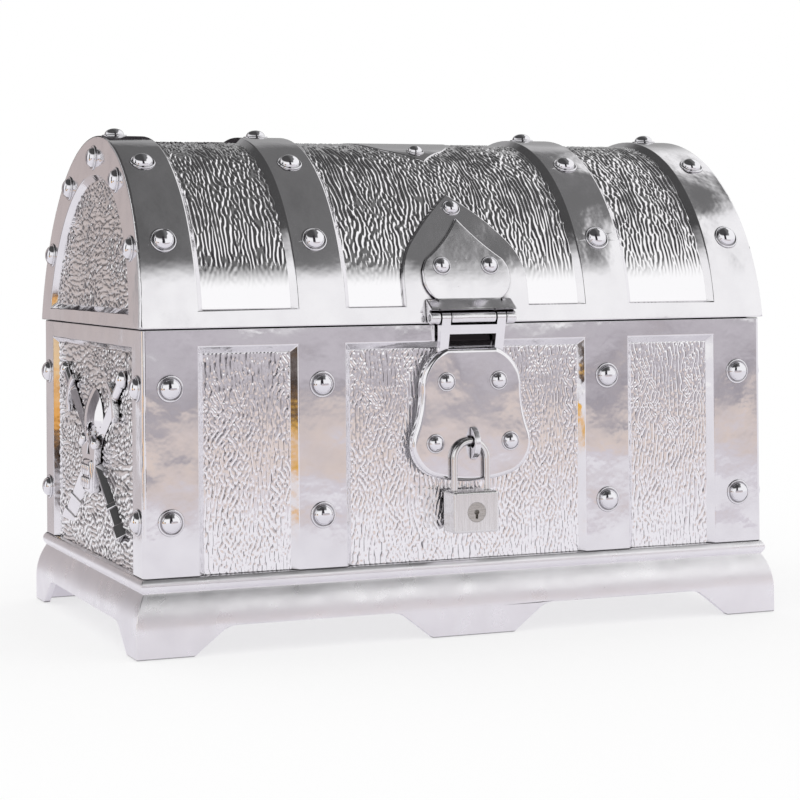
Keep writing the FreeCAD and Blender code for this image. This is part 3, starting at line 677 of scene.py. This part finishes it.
# Silvered ABS on the relief: a clean mirror, with painted shade in the hollows of the figure.
relief_silver = mirror_skin(
    "silvered_abs_relief",
    bright="#F8F7F9",
    dull="#EDEBEF",
    polish=0.04,
    haze=0.10,
    ripple=0.0004,
    shade_reach=0.0035,
)
for emblem, side in (("left_emblem", -1), ("right_emblem", 1)):
    eased(emblem, "chest", moulded_edge, relief_silver)
    bpy.ops.object.mode_set(mode="EDIT")
    bpy.ops.mesh.select_all(action="SELECT")
    bpy.ops.transform.translate(value=(side * end_cast["Height"], 0, 0))
    bpy.ops.object.mode_set(mode="OBJECT")


# Emblem trim: the scabbarded ends of the two swords below the jaw, with their bands and chapes, and
# the skull's jaw, teeth and cheekbones. They are bolder parts of the same relief, silvered with the
# tub, and stand on the panel and on the skull's face.
figure_middle = 0.0525
figure_half_width = 0.037
figure_half_height = 0.026
scabbard_width = 0.0058
scabbard_rise = 0.0024
scabbard_ridge = 0.12
scabbard_back = 0.0012
scabbard_slant = 0.0035
scabbard_tip = 0.035
scabbard_edge = 0.0003
scabbard_parts = ((0.0075, 0.0395, 0.0), (0.0255, 0.0275, 0.0006), (0.0350, 0.0405, 0.0006))
face_rise = 0.0022
jaw_middle = -0.0065
jaw_size = (0.0100, 0.0024, 0.0104)
jaw_edge = 0.0023
tooth_size = (0.0019, 0.0014, 0.0034)
tooth_edge = 0.0006
tooth_pitch = 0.0022
tooth_rows = 0.0040
cheek_size = (0.0056, 0.0034, 0.0034)
cheek_edge = 0.0015
cheek_at = (0.0066, 0.0042)
cheek_slope = math.radians(24)


def pick(piece, chosen):
    """Goes into edit mode with those points selected whose place is chosen."""
    bpy.ops.object.mode_set(mode="EDIT")
    bpy.ops.mesh.select_all(action="DESELECT")
    bpy.ops.object.mode_set(mode="OBJECT")
    piece.data.vertices.foreach_set("select", [chosen(point.co) for point in piece.data.vertices])
    bpy.ops.object.mode_set(mode="EDIT")


def relief_block(size, edge):
    """Block with soft edges still to be applied, X across, Z up and its front towards -Y."""
    bpy.ops.object.select_all(action="DESELECT")
    bpy.ops.mesh.primitive_cube_add(size=1)
    block = bpy.context.object
    block.scale = size
    bpy.ops.object.transform_apply()
    soft = block.modifiers.new("soft", "BEVEL")
    soft.width = edge
    soft.segments = 4
    return block


def set_down(block, place, lean):
    """Rounds a block's edges, leans it about its front and puts it in its place on the figure."""
    bpy.ops.object.modifier_apply(modifier="soft")
    block.matrix_world = Matrix.Translation(place) @ Matrix.Rotation(lean, 4, "Y")
    bpy.ops.object.transform_apply()
    trim.append(block)


trim = []
for side in (-1, 1):
    out = Vector((side * figure_half_width, 0, -figure_half_height)).normalized()
    lean = -side * math.atan2(figure_half_width, figure_half_height)
    for begin, finish, grow in scabbard_parts:
        rise = scabbard_rise + grow
        part = relief_block((scabbard_width + 2 * grow, rise, finish - begin), scabbard_edge)
        pick(part, lambda at: at.y < 0)
        bpy.ops.transform.resize(value=(scabbard_ridge, 1, 1), center_override=(0, 0, 0))
        bpy.ops.transform.translate(value=(side * scabbard_back, 0, 0))
        bpy.ops.object.mode_set(mode="OBJECT")
        pick(part, lambda at: at.z < 0 and at.x * side < 0 and finish > scabbard_tip)
        bpy.ops.transform.translate(value=(0, 0, scabbard_slant))
        bpy.ops.object.mode_set(mode="OBJECT")
        set_down(part, out * (begin + finish) / 2 - Vector((0, rise / 2, 0)), lean)
    cheek = relief_block(cheek_size, cheek_edge)
    set_down(cheek, (side * cheek_at[0], -face_rise, cheek_at[1]), side * cheek_slope)
jaw = relief_block(jaw_size, jaw_edge)
set_down(jaw, (0, -face_rise, jaw_middle), 0)
tooth = relief_block(tooth_size, tooth_edge)
first_tooth = (-1.5 * tooth_pitch, -face_rise - jaw_size[1] / 2, jaw_middle + tooth_rows / 2)
set_down(tooth, first_tooth, 0)
for count, pitch in ((4, (tooth_pitch, 0, 0)), (2, (0, 0, -tooth_rows))):
    row = tooth.modifiers.new("row", "ARRAY")
    row.count = count
    row.use_relative_offset = False
    row.use_constant_offset = True
    row.constant_offset_displace = pitch
    bpy.ops.object.modifier_apply(modifier="row")
for lump in trim:
    lump.select_set(True)
bpy.ops.object.join()
left_trim = bpy.context.object
left_trim.name = "left_emblem_trim"
bpy.ops.object.shade_smooth_by_angle(angle=math.radians(35))
left_trim.data.materials.append(relief_silver)
right_trim = left_trim.copy()
right_trim.data = left_trim.data.copy()
right_trim.name = "right_emblem_trim"
bpy.context.scene.collection.objects.link(right_trim)
for lumps, side in ((left_trim, -1), (right_trim, 1)):
    bpy.ops.object.select_all(action="DESELECT")
    lumps.select_set(True)
    bpy.context.view_layer.objects.active = lumps
    outward = Matrix.Rotation(side * math.pi / 2, 4, "Z")
    lumps.matrix_world = Matrix.Translation((side * wall_x, 0, figure_middle)) @ outward
    bpy.ops.object.transform_apply()
    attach(lumps, "chest")


# Studs: domed heads with a thin flange, pressed into blind holes in the bands, the hasp and the
# crest. They are moulded in ABS and silvered apart from the mouldings.
stud_height = 0.0024
small_height = 0.0019
small_radius = 0.0028
stud_sides = 36
# Radius and height of the outline, from the foot of the flange over the groove to the crown.
stud_outline = (
    (0.00380, -0.0001),
    (0.00380, 0.00025),
    (0.00370, 0.00038),
    (0.00348, 0.00042),
    (0.00328, 0.00036),
    (0.00314, 0.00022),
    (0.00304, 0.00024),
    (0.00298, 0.00055),
    (0.00290, 0.00088),
    (0.00270, 0.00128),
    (0.00236, 0.00165),
    (0.00188, 0.00197),
    (0.00128, 0.00221),
    (0.00064, 0.00235),
)
stud_radius, stud_foot = stud_outline[0]
crown_rise = stud_height - stud_outline[-1][1]
small_wide = small_radius / stud_radius
small_stud = (small_wide, small_wide, small_height / stud_height)
# Silvered ABS, the smoothest here: small sharp images of the room, and a ring of painted shade in
# the groove.
stud_silver = mirror_skin(
    "silvered_abs_studs",
    bright="#F6F5F8",
    dull="#E6E5EA",
    polish=0.04,
    haze=0.09,
    ripple=0.00002,
    shade_reach=0.0014,
)
bpy.ops.object.select_all(action="DESELECT")
bpy.ops.mesh.primitive_circle_add(
    vertices=stud_sides, radius=stud_radius, location=(0, 0, stud_foot)
)
stud = bpy.context.object
bpy.ops.object.transform_apply()
bpy.ops.object.mode_set(mode="EDIT")
bpy.ops.mesh.select_all(action="SELECT")
for (wide, low), (narrow, high) in zip(stud_outline, stud_outline[1:]):
    bpy.ops.mesh.extrude_region_move(TRANSFORM_OT_translate={"value": (0, 0, high - low)})
    bpy.ops.transform.resize(value=(narrow / wide, narrow / wide, 1), center_override=(0, 0, high))
bpy.ops.mesh.extrude_region_move(TRANSFORM_OT_translate={"value": (0, 0, crown_rise)})
bpy.ops.mesh.merge(type="CENTER")
bpy.ops.mesh.select_all(action="SELECT")
bpy.ops.mesh.normals_make_consistent(inside=False)
bpy.ops.object.mode_set(mode="OBJECT")
bpy.ops.object.shade_smooth()
stud.data.materials.append(stud_silver)

for node in [name for name in nodes if name.endswith("_studs")]:
    small = node.startswith(("crest", "hasp"))
    size = Vector(small_stud if small else (1, 1, 1))
    if node.startswith("hasp_flap"):
        body = "hasp"
    elif small or node.startswith("lid"):
        body = "lid"
    else:
        body = "chest"
    row = bpy.data.objects.new(node + "_row", nodes[node].data.copy())
    bpy.context.scene.collection.objects.link(row)
    bpy.ops.object.select_all(action="DESELECT")
    row.select_set(True)
    bpy.context.view_layer.objects.active = row
    bpy.ops.object.mode_set(mode="EDIT")
    bpy.ops.mesh.select_all(action="SELECT")
    bpy.ops.mesh.remove_doubles(threshold=same_point)
    bpy.ops.mesh.separate(type="LOOSE")
    bpy.ops.object.mode_set(mode="OBJECT")
    solids = list(bpy.context.selected_objects)
    heads = []
    for solid in solids:
        # The flat underside of the head, its largest flat, gives the stud's foot and direction.
        flats = {}
        for face in solid.data.polygons:
            flats.setdefault(tuple(round(part, 2) for part in face.normal), []).append(face)
        under = max(flats.values(), key=lambda faces: sum(face.area for face in faces))
        out = -under[0].normal
        area = sum(face.area for face in under)
        middle = sum((face.center * face.area for face in under), Vector()) / area
        top = max((point.co - middle).dot(out) for point in solid.data.vertices)
        head = stud.copy()
        head.data = stud.data.copy()
        bpy.context.scene.collection.objects.link(head)
        foot = middle + out * (top - stud_height * size.z)
        upright = out.to_track_quat("Z", "Y").to_matrix().to_4x4()
        head.matrix_world = Matrix.Translation(foot) @ upright @ Matrix.Diagonal(size).to_4x4()
        heads.append(head)
    bpy.ops.object.delete()
    bpy.ops.object.select_all(action="DESELECT")
    for head in heads:
        head.select_set(True)
    bpy.context.view_layer.objects.active = heads[0]
    if len(heads) > 1:
        bpy.ops.object.join()
    heads[0].name = node + "_domed"
    bpy.ops.object.transform_apply()
    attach(heads[0], body)
    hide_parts(node)
bpy.ops.object.select_all(action="DESELECT")
stud.select_set(True)
bpy.ops.object.delete()


# Rear hinges: two knuckle hinges behind the inner bands, moulded in ABS and silvered like the tub.
# Each turns on a pin of drawn steel that goes through its knuckles.
def wear(node, material):
    """Gives a CAD node its finish."""
    nodes[node].data.materials.clear()
    nodes[node].data.materials.append(material)


def drawn_metal(name, bright, dull, line, polish, haze):
    """Metal with fine lines left by drawing, brushing or turning. A line has the given size along
    each axis."""
    line_depth = 0.00003
    material = bpy.data.materials.new(name)
    material.use_nodes = True
    tree = material.node_tree
    shader = tree.nodes["Principled BSDF"]
    shader.inputs["Metallic"].default_value = 1.0
    place = add_node(tree, "ShaderNodeTexCoord", {}).outputs["Object"]
    stretched = add_node(
        tree,
        "ShaderNodeMapping",
        {"Vector": place, "Scale": line},
        vector_type="TEXTURE",
    )
    streak = add_node(
        tree,
        "ShaderNodeTexNoise",
        {"Vector": stretched.outputs["Vector"], "Scale": 1.0, "Detail": 2.0},
    )
    colour = add_node(tree, "ShaderNodeMix", {"Factor": streak.outputs["Fac"]}, data_type="RGBA")
    colour.inputs["A"].default_value = linear(dull)
    colour.inputs["B"].default_value = linear(bright)
    tree.links.new(colour.outputs["Result"], shader.inputs["Base Color"])
    rough = add_node(
        tree,
        "ShaderNodeMapRange",
        {
            "Value": streak.outputs["Fac"],
            "From Min": 0.35,
            "From Max": 0.65,
            "To Min": haze,
            "To Max": polish,
        },
    )
    tree.links.new(rough.outputs["Result"], shader.inputs["Roughness"])
    fine = add_node(
        tree,
        "ShaderNodeBump",
        {"Height": streak.outputs["Fac"], "Distance": line_depth, "Strength": 1.0},
    )
    tree.links.new(fine.outputs["Normal"], shader.inputs["Normal"])
    return material


# Silvered ABS, for the hinges and the lid: the same bright, softly waved mirror as on the tub.
moulding_silver = mirror_skin(
    "silvered_abs_moulding",
    bright="#F6F5F7",
    dull="#E6E4E8",
    polish=0.05,
    haze=0.14,
    ripple=0.0009,
    shade_reach=0.0014,
)
# Drawn steel: streaks 14 mm long and 0.3 mm wide along the pins, greyer than the silver round them.
pin_steel = drawn_metal(
    "drawn_steel",
    bright="#C9C8CA",
    dull="#9B999C",
    line=(0.014, 0.0003, 0.0003),
    polish=0.18,
    haze=0.34,
)
for hand in ("left", "right"):
    wear("rear_hinge_base_" + hand, moulding_silver)
    wear("rear_hinge_leaf_" + hand, moulding_silver)
    wear("rear_hinge_pin_" + hand, pin_steel)


# Lid: the arched shell with leaning ends, hinged at the back. It is one moulding in silvered ABS,
# whose bands, rails and pads stand 2 mm above the grained panels. Sheets of relief, bent over the
# arch and cut to half-rounds at the ends, carry the grain.
arch_centre = 0.08869
arch_radius = 0.06111
arch_floor = arch_radius - panel_floor_depth
lid_foot = 0.0923
rail_height = 0.005
eased("lid_shell", "lid", moulded_edge, moulding_silver)
# Silvered ABS over deep, sharp grain: each ridge mirrors light on one flank and dark on the other,
# and a light painted shade greys the grooves.
lid_grain = grained_silver(
    "silvered_abs_lid_grain",
    ridge="#FAF9FB",
    groove_shade="#A8A4AA",
    crest=0.42,
    polish=0.03,
    haze=0.09,
)
lid_cast = {
    "Height": 0.00050,
    "Order": 0.1,
    "Spacing": 0.0013,
    "Length": 1.8,
    "Round": 0.0,
    "Stroke": 0.0045,
}
lid_steps = (0.0002, 0.00075)
lid_seed = 17.9
rail_turn = math.acos((lid_foot - arch_centre) / arch_radius) - rail_height / arch_radius
arch_length = 2 * rail_turn * arch_floor
for hand, x0, x1 in panel_spans:
    wide = x1 - x0 - 2 * panel_bevel + 2 * skin_lap
    seed = lid_seed + x0 * seed_step
    arch = grained_sheet("lid_grain_" + hand, wide, arch_length, seed, lid_cast, lid_steps)
    bend = arch.modifiers.new("bend", "SIMPLE_DEFORM")
    bend.deform_method = "BEND"
    bend.deform_axis = "X"
    bend.angle = 2 * rail_turn
    bpy.ops.object.modifier_apply(modifier="bend")
    arch.matrix_world = Matrix.Rotation(-math.pi / 2, 4, "X")
    bpy.ops.object.transform_apply()
    settle(arch, 0, Vector(((x0 + x1) / 2, 0, arch_centre + arch_floor)), "lid", lid_grain)

end_low = 0.0091
end_high = 0.0478
end_lean = math.radians(2.9)
end_foot_x = 0.10118
lid_end_seed = 57.3
for hand, side in (("left", -1), ("right", 1)):
    rise = (end_low + end_high) / 2
    half_round = grained_sheet(
        hand + "_lid_end_grain",
        end_high - end_low,
        2 * end_high,
        lid_end_seed + side,
        end_cast,
        end_steps,
    )
    half_round.matrix_world = Matrix.Rotation(math.pi / 2, 4, "Y")
    bpy.ops.object.transform_apply()
    pick(half_round, lambda at: at.x ** 2 + (at.z + rise) ** 2 > end_high ** 2)
    bpy.ops.mesh.delete(type="VERT")
    bpy.ops.object.mode_set(mode="OBJECT")
    on_floor = Matrix.Translation((0, panel_floor_depth, rise))
    half_round.matrix_world = Matrix.Rotation(-end_lean, 4, "X") @ on_floor
    bpy.ops.object.transform_apply()
    stand = Vector((side * end_foot_x, 0, arch_centre))
    settle(half_round, side * math.pi / 2, stand, "lid", end_grain)


# Hasp: the spade-shaped plate with its knuckles, fixed on the lid, and the pear-shaped flap that
# hangs from them on a steel pin, with a low round ear for the padlock. Plate, flap and ear are
# moulded in ABS and silvered.
plate_edge = 0.0004
flap_back = -0.0605
flap_turnover = -0.0607
# Silvered ABS, dulled by handling: light and dark run softly over the plate and the ear.
hasp_silver = mirror_skin(
    "silvered_abs_hasp",
    bright="#F6F5F7",
    dull="#E6E4E8",
    polish=0.12,
    haze=0.26,
    ripple=0.0012,
    shade_reach=0.0014,
)
wear("hasp_pin", pin_steel)
# Silvered ABS: a mirror in front. The vapour comes from the front only, so the back of the flap
# stays bare, pale and matt.
flap_silver = mirror_skin(
    "silvered_abs_flap",
    bright="#F8F7F9",
    dull="#E9E7EB",
    polish=0.06,
    haze=0.16,
    ripple=0.0009,
    shade_reach=0.0014,
)
tree = flap_silver.node_tree
face = tree.nodes["Principled BSDF"]
place = add_node(tree, "ShaderNodeTexCoord", {}).outputs["Object"]
depth = add_node(tree, "ShaderNodeSeparateXYZ", {"Vector": place})
front = add_node(
    tree,
    "ShaderNodeMapRange",
    {
        "Value": depth.outputs["Y"],
        "From Min": flap_turnover,
        "From Max": flap_back,
        "To Min": 1.0,
        "To Max": 0.0,
    },
)
tree.links.new(front.outputs["Result"], face.inputs["Metallic"])
wear("hasp_flap", flap_silver)
eased("hasp_plate", "lid", plate_edge, hasp_silver)
eased("hasp_staple", "hasp", moulded_edge, hasp_silver)


# Padlock: a small case that hangs on a bent wire shackle in the ear, with a turning plug.
# The case is die-cast, the wire is drawn and the plug is turned, all of them nickel-plated.

# Brushed nickel: pale streaks 6 mm long and 0.25 mm wide run up the case and soften its light.
case_nickel = drawn_metal(
    "brushed_nickel",
    bright="#F6F5F5",
    dull="#DAD8D8",
    line=(0.00025, 0.00025, 0.006),
    polish=0.14,
    haze=0.30,
)
# Polished nickel: a smooth, bright line of light along the wire.
wire_nickel = mirror_skin(
    "polished_nickel",
    bright="#F2F1F1",
    dull="#DCDADA",
    polish=0.06,
    haze=0.14,
    ripple=0.00004,
    shade_reach=0.0006,
)
# Turned nickel: lines 4 mm long and 0.3 mm wide across the plug's face, warmer and duller.
plug_nickel = drawn_metal(
    "turned_nickel",
    bright="#D2CFCB",
    dull="#A9A6A2",
    line=(0.004, 0.0003, 0.0003),
    polish=0.16,
    haze=0.30,
)
wear("padlock_shackle", wire_nickel)
wear("padlock_plug", plug_nickel)
wear("padlock_case", case_nickel)


# Stage: a white floor that keeps a faint shadow, and white surroundings under a dark ceiling.
# Boards round the chest, which only its mirrors see, stand for the room it was photographed in.
floor_size = 12
floor_level = -0.0002
paper_glow = 0.65
bpy.ops.object.select_all(action="DESELECT")
bpy.ops.mesh.primitive_plane_add(size=floor_size, location=(0, 0, floor_level))
floor = bpy.context.object
floor.name = "floor"
bpy.ops.object.transform_apply()
# Matt white paper: plain white with a soft shadow, and a little lilac in the mirrors.
paper = bpy.data.materials.new("white_sweep")
paper.use_nodes = True
tree = paper.node_tree
matt = tree.nodes["Principled BSDF"]
matt.inputs["Base Color"].default_value = linear("#FFFFFF")
matt.inputs["Roughness"].default_value = 0.9
matt.inputs["Specular IOR Level"].default_value = 0.0
ray = add_node(tree, "ShaderNodeLightPath", {})
tint = add_node(
    tree, "ShaderNodeMix", {"Factor": ray.outputs["Is Camera Ray"]}, data_type="RGBA"
)
tint.inputs["A"].default_value = linear("#E6E3EA")
tint.inputs["B"].default_value = linear("#FFFFFF")
glow = add_node(tree, "ShaderNodeEmission", {"Color": tint.outputs["Result"], "Strength": 1.0})
seen = add_node(
    tree,
    "ShaderNodeMath",
    {0: ray.outputs["Is Camera Ray"], 1: ray.outputs["Is Glossy Ray"]},
    operation="MAXIMUM",
)
share = add_node(
    tree,
    "ShaderNodeMath",
    {0: seen.outputs["Value"], 1: paper_glow},
    operation="MULTIPLY",
)
blend = add_node(
    tree,
    "ShaderNodeMixShader",
    {0: share.outputs["Value"], 1: matt.outputs["BSDF"], 2: glow.outputs["Emission"]},
)
tree.links.new(blend.outputs["Shader"], tree.nodes["Material Output"].inputs["Surface"])
floor.data.materials.append(paper)


def board(name, foot, turn, width, height, stops):
    """Upright board on the floor, tinted from its foot to its head, that only reflections show."""
    cloud_size = 0.035
    cloud_sway = 0.5
    bpy.ops.object.select_all(action="DESELECT")
    bpy.ops.mesh.primitive_plane_add(
        size=1, rotation=(math.pi / 2, 0, turn), location=(foot[0], foot[1], height / 2)
    )
    card = bpy.context.object
    card.name = name
    card.scale = (width, height, 1)
    bpy.ops.object.transform_apply()
    # Painted board: cloudy bands of colour, as a room looks in a mirror that isn't flat.
    material = bpy.data.materials.new(name)
    material.use_nodes = True
    tree = material.node_tree
    tree.nodes.remove(tree.nodes["Principled BSDF"])
    place = add_node(tree, "ShaderNodeTexCoord", {}).outputs["Object"]
    rise = add_node(tree, "ShaderNodeSeparateXYZ", {"Vector": place})
    cloud = add_node(
        tree,
        "ShaderNodeTexNoise",
        {"Vector": place, "Scale": 1 / cloud_size, "Detail": 2.0},
    )
    stirred = add_node(
        tree,
        "ShaderNodeMath",
        {0: cloud.outputs["Fac"], 1: cloud_sway, 2: -cloud_sway / 2},
        operation="MULTIPLY_ADD",
    )
    step = add_node(
        tree,
        "ShaderNodeMath",
        {0: rise.outputs["Z"], 1: 1 / height, 2: stirred.outputs["Value"]},
        operation="MULTIPLY_ADD",
    )
    ramp = add_node(tree, "ShaderNodeValToRGB", {"Fac": step.outputs["Value"]})
    while len(ramp.color_ramp.elements) < len(stops):
        ramp.color_ramp.elements.new(0.5)
    for element, (at, code) in zip(ramp.color_ramp.elements, stops):
        element.position = at
        element.color = linear(code)
    lit = add_node(tree, "ShaderNodeEmission", {"Color": ramp.outputs["Color"], "Strength": 1.0})
    tree.links.new(lit.outputs["Emission"], tree.nodes["Material Output"].inputs["Surface"])
    card.data.materials.append(material)
    card.visible_camera = False
    card.visible_diffuse = False
    card.visible_shadow = False


board(
    "front_board",
    foot=(0.125, -0.36),
    turn=0,
    width=0.43,
    height=0.096,
    stops=(
        (0.0, "#DEDAE1"),
        (0.12, "#D9D3D9"),
        (0.28, "#E2D2C8"),
        (0.42, "#D9CFCC"),
        (0.49, "#A39EA5"),
        (0.58, "#B4AFB5"),
        (0.78, "#CBC6CC"),
        (1.0, "#ABA6AC"),
    ),
)
board(
    "left_board",
    foot=(-0.42, -0.24),
    turn=math.pi / 2,
    width=0.12,
    height=0.096,
    stops=(
        (0.0, "#E8DCD8"),
        (0.06, "#F0AE3C"),
        (0.32, "#F4C05A"),
        (0.39, "#5A4437"),
        (0.7, "#3F3836"),
        (1.0, "#6B5F5A"),
    ),
)
board(
    "corner_board",
    foot=(-0.42, -0.03),
    turn=math.pi / 2,
    width=0.12,
    height=0.096,
    stops=(
        (0.0, "#F1EEF3"),
        (0.06, "#DDD8DF"),
        (0.12, "#2B2526"),
        (0.30, "#3A2C22"),
        (0.34, "#F0A94A"),
        (0.6, "#EFD0A4"),
    ),
)
board(
    "camera_board",
    foot=(-0.09, -0.80),
    turn=-math.radians(6),
    width=0.30,
    height=1.2,
    stops=((0.0, "#2A282B"), (1.0, "#3A373B")),
)
board(
    "back_left_board",
    foot=(-0.153, 0.213),
    turn=math.radians(14.5),
    width=0.06,
    height=0.26,
    stops=((0.0, "#C9C2C4"), (0.5, "#C2B7B5"), (1.0, "#B9AEAD")),
)
board(
    "rear_board",
    foot=(-0.05, 0.24),
    turn=math.radians(14.5),
    width=0.15,
    height=0.26,
    stops=((0.0, "#3A3639"), (1.0, "#2F2C2F")),
)
board(
    "left_dark_board",
    foot=(-0.62, 0.02),
    turn=math.pi / 2,
    width=0.14,
    height=0.4,
    stops=((0.0, "#1F1D20"), (1.0, "#2A282B")),
)
board(
    "left_back_board",
    foot=(-0.355, 0.353),
    turn=math.radians(36),
    width=0.218,
    height=0.35,
    stops=((0.0, "#C9C5C9"), (0.2, "#8F8A8E"), (0.5, "#6E6A6D"), (1.0, "#A5A0A3")),
)

# The room is plain white to the eye. In the mirrors it has a shaded back, a dark ceiling and a
# bright opening on the right.
world = bpy.data.worlds.new("studio")
bpy.context.scene.world = world
world.use_nodes = True
tree = world.node_tree
room = tree.nodes["Background"]
way = add_node(tree, "ShaderNodeTexCoord", {})
upward = add_node(tree, "ShaderNodeSeparateXYZ", {"Vector": way.outputs["Generated"]})


def room_edge(axis, begin, finish, before, after):
    """Brightness of the room that goes smoothly from one value to another along an axis."""
    return add_node(
        tree,
        "ShaderNodeMapRange",
        {
            "Value": upward.outputs[axis],
            "From Min": begin,
            "From Max": finish,
            "To Min": before,
            "To Max": after,
        },
        interpolation_type="SMOOTHSTEP",
    ).outputs["Result"]


behind = room_edge("Y", begin=0.6, finish=0.85, before=1.0, after=0.36)
ceiling = room_edge("Z", begin=0.44, finish=0.70, before=1.0, after=0.0)
window = room_edge("X", begin=0.42, finish=0.50, before=0.0, after=1.0)
head = room_edge("Z", begin=0.80, finish=0.88, before=1.0, after=0.0)
pane = add_node(tree, "ShaderNodeMath", {0: window, 1: head}, operation="MULTIPLY")
open_side = add_node(
    tree,
    "ShaderNodeMath",
    {0: ceiling, 1: pane.outputs["Value"]},
    operation="MAXIMUM",
)
shaded = add_node(
    tree,
    "ShaderNodeMath",
    {0: open_side.outputs["Value"], 1: behind},
    operation="MULTIPLY",
)
dusk = add_node(
    tree,
    "ShaderNodeMapRange",
    {
        "Value": upward.outputs["X"],
        "From Min": 0.10,
        "From Max": 0.34,
        "To Min": 0.07,
        "To Max": 0.17,
    },
)
mirrored = add_node(
    tree,
    "ShaderNodeMath",
    {0: shaded.outputs["Value"], 1: dusk.outputs["Result"]},
    operation="MAXIMUM",
)
ray = add_node(tree, "ShaderNodeLightPath", {})
plain = add_node(
    tree,
    "ShaderNodeMath",
    {0: 1.0, 1: ray.outputs["Is Glossy Ray"]},
    operation="SUBTRACT",
)
strength = add_node(
    tree,
    "ShaderNodeMath",
    {0: mirrored.outputs["Value"], 1: plain.outputs["Value"]},
    operation="MAXIMUM",
)
tree.links.new(strength.outputs["Value"], room.inputs["Strength"])
room.inputs["Color"].default_value = linear("#FFFFFF")


# Camera: where the chest was photographed from, level with the lid and 22 degrees off the front.
# The lens is long, and it is shifted so that the chest has the photograph's place in the frame.
yaw = math.radians(22.047)
pitch = math.radians(0.454)
roll = math.radians(-0.468)
viewpoint = (-0.26473, -0.66223, 0.11293)
ahead = Vector(
    (math.sin(yaw) * math.cos(pitch), math.cos(yaw) * math.cos(pitch), math.sin(pitch))
)
level_right = Vector((math.cos(yaw), -math.sin(yaw), 0))
level_up = level_right.cross(ahead)
right = math.cos(roll) * level_right + math.sin(roll) * level_up
up = math.cos(roll) * level_up - math.sin(roll) * level_right
lens = bpy.data.cameras.new("camera")
camera = bpy.data.objects.new("camera", lens)
bpy.context.scene.collection.objects.link(camera)
stand = Matrix((right, up, -ahead)).transposed().to_4x4()
stand.translation = Vector(viewpoint)
camera.matrix_world = stand
lens.sensor_width = 36
lens.lens = 99.406
lens.shift_x = -0.0028
lens.shift_y = -0.2046
bpy.context.scene.camera = camera
bpy.context.scene.view_settings.view_transform = "Standard"
